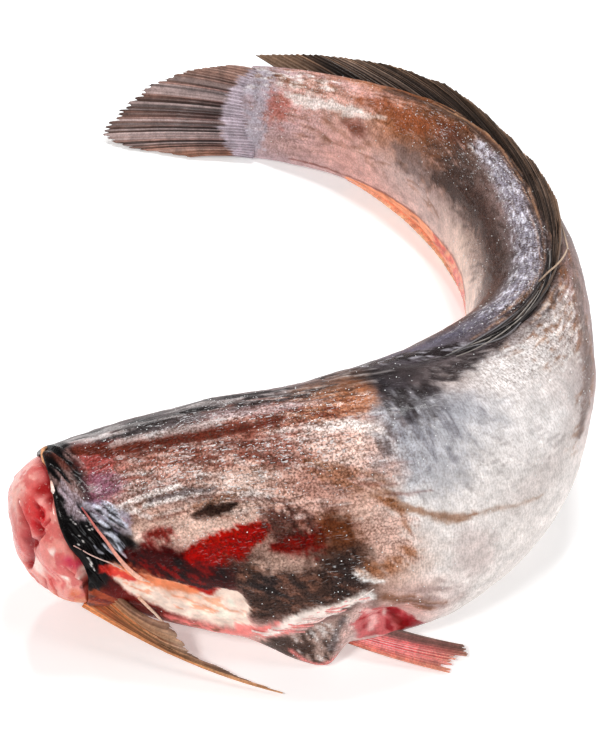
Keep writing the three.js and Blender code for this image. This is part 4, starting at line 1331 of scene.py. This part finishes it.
def buildFlesh(finish):
    look = cutFlesh
    t = np.linspace(0, 1, look["steps"])[:-1, None]  # from the skin to the middle of the face
    angle = np.linspace(-180, 180, look["around"] + 1)[None, :-1]
    t, angle = np.broadcast_arrays(t, angle)
    x, y = (1 - t) * np.sin(np.radians(angle)), (1 - t) * np.cos(np.radians(angle))
    rise, tint = fleshSurface(x, y, t)

    st = station(np.zeros(t.shape))
    side, up = outline(st, angle)
    deep, inward, narrower = look["wall"]
    wall = np.maximum(1 - t / inward, 0)
    shrink = look["inset"] * np.cos(t * math.pi / 2) ** look["fullness"] * (1 - narrower * wall)
    middle, spread, share = look["raise"]
    shrink = shrink * (1 + share * bell(wrap(angle - middle) / spread) * (1 - t))
    side, up = side * shrink, up * shrink
    middle, spread, share = look["trim"]
    fuller = 1 - share * bell(wrap(angle - middle) / spread) * np.sin(math.pi * t)
    swell = -look["gutter"] + (look["bulge"] + look["gutter"]) * np.sin(t * math.pi / 2) * fuller
    swell = swell - deep * wall ** 2 + rise * smooth(t, *look["riseFrom"])
    slant = -body["slant"] * up / st["above"] * (1 - t)
    points = placed(st, side, up - look["sag"] * t, slant - swell)
    points[..., 2] = np.maximum(points[..., 2], look["lowest"])

    rows, columns = t.shape
    size = rows * columns
    faces = gridFaces(rows, columns, True)[:, ::-1].tolist()
    faces += fanFaces(size - columns, columns, size, inward=True) + fanFaces(0, columns, size + 1)
    points = np.concatenate([points.reshape(-1, 3), [points[-1].mean(0), points[0].mean(0)]])
    tint = np.concatenate([tint.reshape(-1, 3), tint[-1, :1], tint[0, :1]])
    piece = makePiece("cutFlesh", points, faces, {"tint": tintValues(tint)}, finish)
    return ride(piece)


# fins: a thin ribbed sheet each, with rays laid through it
# root, bow and tips are back, out and up from the spine
fanFin = {"web": 0.5, "skew": 0.0}
pectoralFin = {
    **fanFin, "at": 8, "rays": 10, "perRay": 8, "thick": (3.0, 0.6), "gap": 0.05, "torn": 0.04, "ragged": 0.08,
    "rayRadius": (0.95, 0.32), "fork": 0.6, "stripes": 0.30, "oddTone": (214, 168, 132),
    "rayTone": {0: (240, 138, 84), 0.3: (226, 150, 98), 0.7: (206, 158, 122), 1: (180, 162, 152)},
    "webTone": {0: (168, 70, 36), 0.3: (104, 46, 24), 0.7: (116, 74, 52), 1: (160, 136, 122)},
    "lowTone": (240, 172, 116), "lowShare": 0.14, "highTone": (160, 120, 100), "highShare": 0.1,
}
pelvicFin = {
    **fanFin, "at": 95, "rays": 15, "perRay": 8, "thick": (2.8, 0.6), "gap": 0.04, "torn": 0.03, "ragged": 0.10,
    "rayRadius": (0.44, 0.24), "fork": 0.5, "stripes": 0.18, "oddTone": (240, 150, 146),
    "rayTone": {0: (255, 226, 220), 0.5: (255, 206, 200), 0.8: (244, 172, 156), 1: (220, 172, 146)},
    "webTone": {0: (246, 132, 136), 0.5: (236, 104, 110), 0.85: (206, 108, 100), 1: (180, 128, 110)},
    "lowTone": (246, 160, 132), "lowShare": 0.12, "highTone": (110, 88, 80), "highShare": 0.36,
}
fins = {
    "tailFin": {
        **fanFin, "at": 400, "root": [(-7, -11, 2), (-6, 9.5, 28)], "bow": (0, 0, 1.2),
        "tips": [(17, -19, 1.2), (52, -23, 1.2), (54, -15, 6.5), (46, -3.5, 14), (31, 4, 23), (12, 8, 29)],
        "rays": 30, "perRay": 6, "steps": 44, "thick": (3.6, 0.55), "gap": 0.035, "torn": 0.04, "ragged": 0.04,
        "seed": 1, "rayRadius": (0.50, 0.18), "fork": 0.45, "stripes": 0.36, "oddTone": (190, 174, 174),
        "rayTone": {0: (130, 106, 104), 0.3: (116, 88, 84), 0.7: (152, 122, 114), 1: (118, 90, 82)},
        "webTone": {0: (120, 98, 96), 0.15: (44, 28, 27), 0.6: (60, 42, 38), 1: (92, 68, 60)},
        "lowTone": (150, 100, 76), "lowShare": 0.10, "highTone": (160, 124, 110), "highShare": 0.22,
        "foot": (1.5, 8.0, (182, 168, 178)),  # skin over its root: mm at the sides, more in the middle, tone
    },
    "leftPectoral": {
        **pectoralFin, "root": [(-4.8, 17, 16), (2.2, 21, 30)], "bow": (0, 2.5, -2.5),
        "tips": [(54.5, 55.5, 1.2), (43, 48, 3), (28, 38.5, 8), (22, 32, 17)], "steps": 44, "seed": 2,
    },
    "rightPectoral": {
        **pectoralFin, "root": [(-3, -2, 13), (3, -9, 18)], "bow": (0, -2.5, 1),
        "tips": [(56, -30, 1.2), (38, -28, 2), (24, -24, 7)], "steps": 40, "seed": 3,
    },
    "leftPelvic": {
        **pelvicFin, "root": [(-18, 25, 9), (-6, 28, 16)], "bow": (0, 1, -0.5),
        "tips": [(21, 46.5, 1.2), (30, 42, 1.4), (33, 39.5, 2)], "steps": 40, "seed": 4,
    },
    "rightPelvic": {
        **pelvicFin, "root": [(-6, -1, 5), (2, -6, 8)], "bow": (0, 0, 0),
        "tips": [(22, -30, 1.2), (33, -26, 1.4), (35, -20, 2.5)], "steps": 36, "seed": 5,
    },
    # along the body: rootTurn turns the root round it, slant and sweep carry the tip back
    "dorsalFin": {
        "from": 100, "to": 384, "angle": 0, "sink": 3, "sweep": 7,
        "rootTurn": [(100, 0), (270, 0), (315, 10), (345, 20), (384, 20)],
        "slant": [(100, 0), (300, 3), (345, 7), (384, 13)],
        "height": [(100, 1.0), (150, 1.6), (185, 2.2), (205, 3.8), (222, 5.6), (245, 6), (270, 5), (295, 5.4),
                   (345, 9.5), (397, 5)],
        "lean": [(100, 60), (215, 60), (250, 56), (384, 48)],
        "rays": 74, "perRay": 6, "steps": 16, "thick": (2.4, 0.6), "web": 0.6, "gap": 0.02, "torn": 0.12,
        "ragged": 0.02, "skew": 0.45, "seed": 6, "rayRadius": (0.40, 0.18),
        "stripes": 0.46, "oddTone": (104, 90, 82),
        "rayTone": {0: (42, 34, 31), 0.5: (74, 58, 48), 1: (136, 108, 88)},
        "webTone": {0: (26, 20, 18), 0.6: (40, 29, 23), 1: (70, 50, 37)},
        "lowTone": (60, 52, 52), "lowShare": 0.3, "highTone": (132, 104, 84), "highShare": 0.05,
    },
    "analFin": {
        "from": 168, "to": 345, "angle": 186, "sink": 3, "sweep": 5,
        "width": [(168, 2), (205, 2.6), (260, 2.4), (310, 1.4), (345, 0)],
        "edgeHeight": [(168, 0.6), (290, 0.6), (320, 2), (345, 4)],
        "rays": 60, "perRay": 6, "steps": 12, "thick": (2.6, 0.9), "web": 0.85, "gap": 0.02, "torn": 0.02,
        "ragged": 0.0, "skew": 0.06, "seed": 7, "rayRadius": (0.30, 0.20),
        "stripes": 0.06, "oddTone": (255, 160, 124),
        "rayTone": {0: (226, 92, 66), 0.5: (250, 138, 98), 1: (255, 206, 172)},
        "webTone": {0: (214, 82, 60), 0.5: (246, 126, 88), 1: (255, 198, 162)},
        "lowTone": (240, 160, 126), "lowShare": 0.08, "highTone": (236, 160, 130), "highShare": 0.08,
    },
}
finForm = {
    # first seed of each kind of noise
    "seeds": {"chance": 900, "tuft": 950, "lane": 70, "stripes": 60, "odd": 80, "mottle": 500, "wave": 600,
              "length": 700},
    "tuftRays": 4,  # rays in a torn tuft
    "whole": 0.15,  # share beside the leading ray that isn't torn
    "laneShift": 0.45, "lanePitch": 0.6,
    "thinning": 0.6, "ridgePower": 1.5,
    "wave": (9.0, 0.35, (0.1, 0.6)),  # size and reach in mm, from and full
    "raySteps": 16, "raySides": 7, "rayOver": 0.012, "lengthCell": (7, 3), "forkSpread": 0.2, "forkThinner": 0.25,
    "weld": 1e-7,
    # tints: amounts of odd lanes, root and tip, where odd lanes begin and are full, mottle
    "odd": 0.55, "low": 0.7, "high": 0.75, "oddFrom": (0.1, 0.6), "mottle": (3.0, 0.14),
    "highEdge": (1.6, 0.4),
    "footRagged": (40, 1.3), "footNoise": (2.0, 41, 1.4), "footSoft": 1.2,
}
finLook = {
    # noise: scale, detail, roughness
    "grain": (1.6, 2.0, 0.6),
    "streak": (0.6, 2.0, 0.6),
    # ranges for ramps: from low, high, to low, high
    "grainRange": (0.3, 0.7, 0.82, 1.14),
    "streakRange": (0.3, 0.7, 0.88, 1.10),
    "roughRange": (0.3, 0.7, 0.34, 0.52),
    "bump": (0.2 * mm, 0.7),
    "shader": {"Coat Weight": 0.10, "Coat Roughness": 0.2, "IOR": 1.42, "Specular IOR Level": 0.15},
}


def smoothCurve(points, u):  # a curve through the points, u from 0 to 1
    points = np.array(points, float)
    n = len(points)
    at = np.clip(np.asarray(u, float), 0, 1) * (n - 1)
    i = np.clip(np.floor(at).astype(int), 0, n - 2)
    t = (at - i)[..., None]
    p0 = np.where((i == 0)[..., None], 2 * points[0] - points[1], points[np.maximum(i - 1, 0)])
    p3 = np.where((i == n - 2)[..., None], 2 * points[-1] - points[-2], points[np.minimum(i + 2, n - 1)])
    p1, p2 = points[i], points[i + 1]
    square, cube = 2 * p0 - 5 * p1 + 4 * p2 - p3, 3 * p1 - p0 - 3 * p2 + p3
    return 0.5 * (2 * p1 + (p2 - p0) * t + square * t ** 2 + cube * t ** 3)


def fanEnds(fin):  # root line, tip line and bow of a fin that spreads from a short root
    st = station(fin["at"])

    def way(step):
        back, out, up = step
        return st["back"] * back + st["out"] * out + np.array([0, 0, up])

    first, second = [st["spot"] + way(p) for p in fin["root"]]
    tips = [st["spot"] + way(p) for p in fin["tips"]]
    return (lambda u: first + (second - first) * u[..., None]), (lambda u: smoothCurve(tips, u)), way(fin["bow"])


def longEnds(fin):  # the same for a fin that runs along the body
    def at(u):
        return fin["from"] + (fin["to"] - fin["from"]) * np.clip(u, 0, 1)

    def more(key, s):
        return through(fin[key], s) if key in fin else 0 * s

    def root(u):
        return skinPoint(at(u), fin["angle"] + more("rootTurn", at(u)), -fin["sink"])

    def tip(u):
        s = np.minimum(at(u) + more("slant", at(u)), body["length"])
        st = station(s)
        point = skinPoint(s, fin["angle"] + 0 * u) + st["back"] * fin["sweep"]
        if "width" in fin:
            point = point - st["out"] * through(fin["width"], s)[..., None]
            point[..., 2] = through(fin["edgeHeight"], s)
            return point
        lean = np.radians(through(fin["lean"], s)) - np.arcsin(st["sin"])
        height = through(fin["height"], s)
        point = point + st["out"] * (height * np.sin(lean))[..., None]
        point[..., 2] += height * np.cos(lean)
        return point

    return root, tip, np.zeros(3)


def finSeed(fin, kind):
    return finForm["seeds"][kind] + fin["seed"]


def finTint(fin, stops, lane, u, v, points):
    form = finForm
    tint = toneAt(stops, v)
    strip = onLine(np.floor(lane * fin["rays"] * 2 + 0.5)).astype(np.int64)  # a ray or a web is one strip
    odd = smooth(cellValue(strip, finSeed(fin, "odd")), *form["oddFrom"])
    tint = stain(tint, fin["oddTone"], form["odd"] * odd)
    tint = tint * (1 + fin["stripes"] * cellValue(strip, finSeed(fin, "stripes")))[..., None]
    tint = stain(tint, fin["lowTone"], form["low"] * bell(u / fin["lowShare"]))
    start, full = form["highEdge"]
    high = smooth(u, 1 - start * fin["highShare"], 1 - full * fin["highShare"])
    tint = stain(tint, fin["highTone"], form["high"] * high)
    if "foot" in fin:
        least, more, tone = fin["foot"]
        reach = least + more * np.sin(math.pi * np.clip(u, 0, 1))
        st = station(fin["at"])
        seed, ragged = form["footRagged"]
        beyond = (points - st["spot"]) @ st["back"] + ragged * cellValue(strip, seed)
        beyond = beyond + layered(points, [form["footNoise"]])
        tint = stain(tint, tone, 1 - smooth(beyond, reach - form["footSoft"], reach + form["footSoft"]))
    size, amount = form["mottle"]
    return tint * (1 + amount * fractal(points, size, finSeed(fin, "mottle")))[..., None]


def finFinish():
    look = finLook
    finish, tree, shader, inMm = newFinish("finSkin")
    grain, streak = [noiseAt(tree, inMm, *look[key]) for key in ("grain", "streak")]
    shade = times(tree, ramp(tree, grain, *look["grainRange"]), ramp(tree, streak, *look["streakRange"]))
    tree.links.new(shaded(tree, attribute(tree, "tint", "Color"), shade), shader.inputs["Base Color"])
    tree.links.new(ramp(tree, grain, *look["roughRange"]), shader.inputs["Roughness"])
    bumpOf(tree, shader, grain, *look["bump"])
    setShader(shader, look["shader"])
    return finish


# Geometry Nodes: an empty tree with its inputs, links, and a plain mesh made by it
def nodeTree(name, inputs):
    tree = bpy.data.node_groups.new(name, "GeometryNodeTree")
    sockets = {}
    for key, kind in inputs.items():
        socket = tree.interface.new_socket(name=key, in_out="INPUT", socket_type="NodeSocket" + kind)
        sockets[key] = socket.identifier
    tree.interface.new_socket(name="Result", in_out="OUTPUT", socket_type="NodeSocketGeometry")
    return tree, sockets


def addNode(tree, kind, inputs=None, **settings):
    node = tree.nodes.new(kind)
    for key, value in settings.items():
        setattr(node, key, value)
    for key, value in (inputs or {}).items():
        node.inputs[key].default_value = value
    return node


def join(tree, *links):
    for node, output, other, socket in links:
        tree.links.new(node.outputs[output], other.inputs[socket])


def runNodes(name, mesh, nodes, values):
    tree, sockets = nodes
    piece = newPiece(name, mesh)
    step = piece.modifiers.new("nodes", "NODES")
    step.node_group = tree
    for key, value in values.items():
        step[sockets[key]] = value
    graph = bpy.context.evaluated_depsgraph_get()
    result = bpy.data.meshes.new_from_object(piece.evaluated_get(graph))
    piece.modifiers.clear()
    piece.data = result
    result.name = name
    print(name, len(result.vertices), "points", len(result.polygons), "faces")
    return piece


def rayTree():  # lines with a radius on their points become tubes
    inputs = {"Lines": "Geometry", "Sides": "Int", "Thickness": "Float", "Finish": "Material"}
    tree, sockets = nodeTree("rayTubes", inputs)
    source, result = addNode(tree, "NodeGroupInput"), addNode(tree, "NodeGroupOutput")
    toCurve = addNode(tree, "GeometryNodeMeshToCurve")
    width = addNode(tree, "GeometryNodeInputNamedAttribute", {"Name": "rayRadius"}, data_type="FLOAT")
    ring = addNode(tree, "GeometryNodeCurvePrimitiveCircle")
    tube = addNode(tree, "GeometryNodeCurveToMesh", {"Fill Caps": True})
    soft = addNode(tree, "GeometryNodeSetShadeSmooth")
    real = addNode(tree, "GeometryNodeRealizeInstances")
    paint = addNode(tree, "GeometryNodeSetMaterial")
    join(
        tree,
        (source, "Lines", toCurve, "Mesh"), (toCurve, "Curve", tube, "Curve"),
        (width, "Attribute", tube, "Scale"), (source, "Sides", ring, "Resolution"),
        (source, "Thickness", ring, "Radius"), (ring, "Curve", tube, "Profile Curve"),
        (tube, "Mesh", soft, "Geometry"), (soft, "Geometry", real, "Geometry"),
        (real, "Geometry", paint, "Geometry"), (source, "Finish", paint, "Material"),
        (paint, "Geometry", result, "Result"),
    )
    return tree, sockets


def makeTubes(name, lines, finish, sides):  # lines: points, radii, tints
    points, edges, radii, tints = [], [], [], []
    for way, radius, tint in lines:
        start = len(points)
        points += (np.asarray(way) * mm).tolist()
        radii += (np.asarray(radius) * mm).tolist()
        tints += tintValues(tint).tolist()
        edges += [(start + k, start + k + 1) for k in range(len(way) - 1)]
    mesh = bpy.data.meshes.new(name)
    mesh.from_pydata(points, edges, [])
    setValues(mesh, {"rayRadius": radii, "tint": tints})
    return ride(runNodes(name, mesh, rayNodes, {"Sides": sides, "Thickness": 1.0, "Finish": finish}))


def rayReach(fin, u):  # how far a ray or the web between rays reaches, with torn ends
    chance = cellValue(onLine(np.floor(u * fin["rays"] + 0.5)).astype(np.int64), finSeed(fin, "chance"))
    gap = 0.5 - 0.5 * np.cos(2 * math.pi * u * fin["rays"])
    tuft = valueNoise(onLine(u * fin["rays"] / finForm["tuftRays"]), finSeed(fin, "tuft"))
    torn = fin["ragged"] * (0.5 + 0.5 * chance) + fin["torn"] * (0.5 + 0.5 * tuft)
    return 1 - smooth(u, 0.0, finForm["whole"]) * torn - fin["gap"] * gap ** 2


def laneToU(fin, lane, share):  # lanes lie unevenly, and slant towards the end of the fin
    uneven = valueNoise(onLine(lane * fin["rays"] * finForm["lanePitch"]), finSeed(fin, "lane"))
    lane = np.clip(lane + finForm["laneShift"] / fin["rays"] * uneven * np.sin(math.pi * lane), 0, 1)
    return lane + fin["skew"] * share * (1 - lane)


def finMiddle(ends, u, v):
    root, tip, bow = ends
    first, last = root(u), tip(u)
    return first + (last - first) * v[..., None] + bow * (4 * v * (1 - v))[..., None]


def blend(pair, t):
    return pair[0] + (pair[1] - pair[0]) * t


def finWeb(name, fin, ends, finish):
    lane = np.linspace(0, 1, fin["rays"] * fin["perRay"] + 1)[:, None]
    lane, share = np.broadcast_arrays(lane, np.linspace(0, 1, fin["steps"])[None, :])
    u = laneToU(fin, lane, share)
    v = share * rayReach(fin, lane)
    middle = finMiddle(ends, u, v)
    normal = np.cross(np.gradient(middle, axis=0), np.gradient(middle, axis=1))
    normal /= np.maximum(np.linalg.norm(normal, axis=-1, keepdims=True), tiny)
    ridge = (0.5 + 0.5 * np.cos(2 * math.pi * lane * fin["rays"])) ** finForm["ridgePower"]
    thick = blend(fin["thick"], v ** finForm["thinning"]) * blend((fin["web"], 1), ridge)
    size, reach, grows = finForm["wave"]
    wave = reach * fractal(middle, size, finSeed(fin, "wave")) * smooth(v, *grows)
    middle = middle + normal * wave[..., None]
    half = normal * thick[..., None] / 2
    web, ray = [finTint(fin, fin[key], lane, u, v, middle) for key in ("webTone", "rayTone")]
    tint = web + (ray - web) * (ridge ** 2)[..., None]

    rows, columns = u.shape
    size = rows * columns
    points = np.concatenate([(middle + half).reshape(-1, 3), (middle - half).reshape(-1, 3)])
    points[:, 2] = np.maximum(points[:, 2], 0.0)
    grid = gridFaces(rows, columns, False)
    ring = np.concatenate([
        np.arange(columns - 1), np.arange(rows - 1) * columns + columns - 1,
        size - 1 - np.arange(columns - 1), (rows - 1 - np.arange(rows - 1)) * columns,
    ])
    after = np.roll(ring, -1)
    wall = np.stack([ring, after, after + size, ring + size], -1)
    faces = grid[:, ::-1].tolist() + (grid + size).tolist() + wall.tolist()
    tints = tintValues(np.concatenate([tint, tint]).reshape(-1, 3))
    sheet = makePiece(name, points, faces, {"tint": tints}, finish)
    squareUp(sheet.data)
    ride(sheet)


def finRays(name, fin, ends, finish):
    form = finForm
    lines = []
    way = np.linspace(0, 1, form["raySteps"])
    forked = "fork" in fin
    split = smooth(way, fin["fork"], 1.0) if forked else 0 * way
    radius = blend(fin["rayRadius"], way) * (1 - form["forkThinner"] * split)
    for k in range(fin["rays"] + 1):
        at = k / fin["rays"]
        chance = cellValue(np.array([[k, *form["lengthCell"]]]), finSeed(fin, "length"))[0]
        v = way * (rayReach(fin, np.array([at]))[0] * (1.0 + form["rayOver"] * chance))
        for fork in (-form["forkSpread"], form["forkSpread"]) if forked else (0.0,):
            u = np.clip(laneToU(fin, np.clip(at + fork / fin["rays"] * split, 0, 1), way), 0, 1)
            path = finMiddle(ends, u, v)
            path[:, 2] = np.maximum(path[:, 2], radius)
            lines.append((path, radius, finTint(fin, fin["rayTone"], at + 0 * way, u, v, path)))
    makeTubes(name, lines, finish, form["raySides"])


def squareUp(mesh):  # faces outward on a closed sheet
    work = bmesh.new()
    work.from_mesh(mesh)
    bmesh.ops.remove_doubles(work, verts=work.verts, dist=finForm["weld"])
    bmesh.ops.recalc_face_normals(work, faces=work.faces)
    work.to_mesh(mesh)
    work.free()
    mesh.shade_smooth()


# loose strands that lie on the skin: points (at, angle, proud), radius from and to, tones
strands = {
    "collarRay": ([(7.6, 60, 0.2), (8.8, 68, 0.6), (10.6, 78, 0.8), (13.0, 87, 0.8), (16.0, 96, 0.9),
        (19.5, 103.5, 0.9), (24, 110, 0.5), (28, 114, 0.1)],
        (0.26, 0.92), [(176, 84, 84), (232, 156, 138), (250, 206, 180)]),
    "collarThread": ([(1.0, 84, 0.3), (5, 91, 0.5), (9, 96.5, 0.6), (13, 100.5, 0.6), (18, 106, 0.4)],
        (0.16, 0.24), [(214, 170, 160), (236, 206, 196)]),
    "finSpine": ([(22, 130, 0.2), (26, 137, 0.9), (30, 146, 1.3), (33.5, 153, 1.6), (36, 160, 1.8)],
        (0.55, 0.3), [(236, 190, 164), (244, 214, 190), (176, 150, 132)]),
    "edgeTag": ([(1.2, 30, 0.1), (0.8, 34, 0.4), (0.5, 39, 0.7), (0.2, 43, 0.4)],
        (0.25, 0.75), [(214, 150, 130), (250, 214, 200), (255, 236, 228)]),
    "cornerTag": ([(4.5, -6, 0.2), (2.4, -3, 1.5), (1.3, 1, 1.9), (1.0, 7, 0.9), (1.0, 14, 0.2)],
        (0.6, 0.9), [(120, 92, 76), (222, 160, 116), (236, 168, 124)]),
    "tanRay": ([(192, -6, 0.8), (199, 0, 2.0), (207, 8, 2.2), (215, 16, 1.6)],
        (0.35, 0.3), [(150, 128, 112), (196, 168, 144), (206, 180, 156)]),
    "tanRayTwo": ([(215, 16, 1.6), (222, 17, 1.2), (230, 19, 0.9), (238, 20, 0.4)],
        (0.3, 0.22), [(206, 180, 156), (170, 146, 126), (110, 92, 80)]),
}
strandForm = {"steps": 28, "sides": 8, "taper": 0.75, "taperFrom": 0.82}
# thin dark rays in a bundle on the back
backBundle = {
    "count": 13, "steps": 40, "sides": 7, "seed": 12, "from": 126, "to": 212, "later": 30, "shorter": 50,
    "spread": 3.2, "ends": 0.45, "sway": (1.6, 5), "shift": -1.0, "turns": 6,
    "proud": (0.7, 0.5, 0.5, 9), "sunk": 0.5, "endPower": 0.4, "endShare": 0.02, "radius": 0.28,
    "tones": [(52, 48, 48), (120, 116, 118), (76, 70, 68), (150, 142, 136), (40, 36, 36)],
}
# short fibres along the torn edge above the belly flap
tornFibres = {
    "count": 26, "steps": 10, "sides": 6, "seed": 21, "from": 62, "reach": 24, "angle": 146, "climb": 1.1,
    "spread": 5, "lean": (3.5, 0.3), "length": (3, 5), "curl": 6, "proud": (0.2, 0.9), "radius": (0.36, 0.192),
    "tones": [(248, 232, 226), (238, 160, 156), (244, 206, 200)],
}


def buildStrands(finish):
    look = strandForm
    u = np.linspace(0, 1, look["steps"])
    lines = []
    for points, radius, tone in strands.values():
        way = smoothCurve(points, u)
        tint = toneAt({k / (len(tone) - 1): c for k, c in enumerate(tone)}, u)
        radius = blend(radius, u) * (1 - look["taper"] * smooth(u, look["taperFrom"], 1.0))
        lines.append((skinPoint(way[:, 0], way[:, 1], way[:, 2]), radius, tint))
    makeTubes("collarRays", lines, finish, look["sides"])


def toneLine(look, k):  # one tone along the k-th line
    return np.repeat([look["tones"][k % len(look["tones"])]], look["steps"], 0).astype(float)


def buildBundle(finish):
    look = backBundle
    draw = np.random.default_rng(look["seed"])
    u = np.linspace(0, 1, look["steps"])
    inside = np.clip(u * (1 - 2 * look["endShare"]) + look["endShare"], 0, 1)
    lines = []
    for k in range(look["count"]):
        start = look["from"] + look["later"] * draw.random()
        stop = look["to"] - look["shorter"] * draw.random() * (k % 2)
        lane = (k / (look["count"] - 1) - 0.5) * 2 * look["spread"]
        reach, waves = look["sway"]
        sway = reach * np.sin(u * waves + draw.random() * look["turns"])
        angle = lane * blend((look["ends"], 1), np.sin(math.pi * u)) + sway + look["shift"]
        least, more, reach, waves = look["proud"]
        proud = least + more * draw.random() + reach * np.sin(u * waves + draw.random() * look["turns"])
        proud = proud * np.sin(math.pi * inside) ** look["endPower"] - look["sunk"]
        radius = look["radius"] * (0.5 + 0.5 * np.sin(math.pi * u))
        lines.append((skinPoint(start + (stop - start) * u, angle, proud), radius, toneLine(look, k)))
    makeTubes("backBundle", lines, finish, look["sides"])


def buildFibres(finish):
    look = tornFibres
    draw = np.random.default_rng(look["seed"])
    u = np.linspace(0, 1, look["steps"])
    lines = []
    for k in range(look["count"]):
        onward = look["reach"] * draw.random()
        angle = look["angle"] - onward * look["climb"] + look["spread"] * (draw.random() - 0.5)
        reach, fewer = look["lean"]
        lean = reach * (draw.random() - fewer)
        least, more = look["length"]
        length = least + more * draw.random()
        turned = angle + lean * u - look["curl"] * u * draw.random()
        low, high = look["proud"]
        proud = low + high * np.sin(math.pi * u) * draw.random()
        path = skinPoint(look["from"] + onward + length * u, turned, proud)
        lines.append((path, blend(look["radius"], u), toneLine(look, k)))
    makeTubes("tornFibres", lines, finish, look["sides"])


# frost: small ice grains strewn over the skin
frost = {"Density": 2.4e5, "Seed": 8, "Small": 0.10 * mm, "Large": 0.26 * mm}
frostLook = {
    "turn": (6.28, 6.28, 6.28),
    "noise": (1.2, 1.0, 0.5),
    "toneRange": (0.3, 0.7, 0.72, 0.92),
    "shader": {"Roughness": 0.25, "Coat Weight": 0.3, "Coat Roughness": 0.1, "IOR": 1.31},
}


def frostFinish():
    finish, tree, shader, inMm = newFinish("frostGrain")
    tone = ramp(tree, noiseAt(tree, inMm, *frostLook["noise"]), *frostLook["toneRange"])
    tree.links.new(greyOf(tree, tone), shader.inputs["Base Color"])
    setShader(shader, frostLook["shader"])
    return finish


def frostTree():
    inputs = {"Skin": "Geometry", "Density": "Float", "Seed": "Int", "Small": "Float", "Large": "Float",
              "Finish": "Material"}
    tree, sockets = nodeTree("frostGrains", inputs)
    source, result = addNode(tree, "NodeGroupInput"), addNode(tree, "NodeGroupOutput")
    where = addNode(tree, "GeometryNodeInputNamedAttribute", {"Name": "fleck"}, data_type="FLOAT")
    amount = addNode(tree, "ShaderNodeMath", operation="MULTIPLY")
    strew = addNode(tree, "GeometryNodeDistributePointsOnFaces")
    grain = addNode(tree, "GeometryNodeMeshIcoSphere", {"Subdivisions": 1, "Radius": 1.0})
    grains = addNode(tree, "GeometryNodeInstanceOnPoints")
    size = addNode(tree, "FunctionNodeRandomValue", data_type="FLOAT")
    turn = addNode(tree, "FunctionNodeRandomValue", {"Max": frostLook["turn"]}, data_type="FLOAT_VECTOR")
    real = addNode(tree, "GeometryNodeRealizeInstances")
    paint = addNode(tree, "GeometryNodeSetMaterial")
    join(
        tree,
        (source, "Skin", strew, "Mesh"), (source, "Density", amount, 0), (where, "Attribute", amount, 1),
        (amount, 0, strew, "Density"), (source, "Seed", strew, "Seed"), (strew, "Points", grains, "Points"),
        (grain, "Mesh", grains, "Instance"), (source, "Small", size, 2), (source, "Large", size, 3),
        (size, 1, grains, "Scale"), (turn, "Value", grains, "Rotation"), (grains, "Instances", real, "Geometry"),
        (real, "Geometry", paint, "Geometry"), (source, "Finish", paint, "Material"),
        (paint, "Geometry", result, "Result"),
    )
    return tree, sockets


def buildFrost(skin, finish):
    grains = runNodes("frostGrains", skin.data.copy(), frostTree(), {**frost, "Finish": finish})
    return ride(grains)


buildStudio()
rayNodes = rayTree()
skin = buildSkin(skinFinish())
buildFlesh(fleshFinish())
finSkin = finFinish()
for finName, fin in fins.items():
    finEnds = fanEnds(fin) if "tips" in fin else longEnds(fin)
    finWeb(finName + "Web", fin, finEnds, finSkin)
    finRays(finName + "Rays", fin, finEnds, finSkin)
buildStrands(finSkin)
buildBundle(finSkin)
buildFibres(finSkin)
buildFrost(skin, frostFinish())
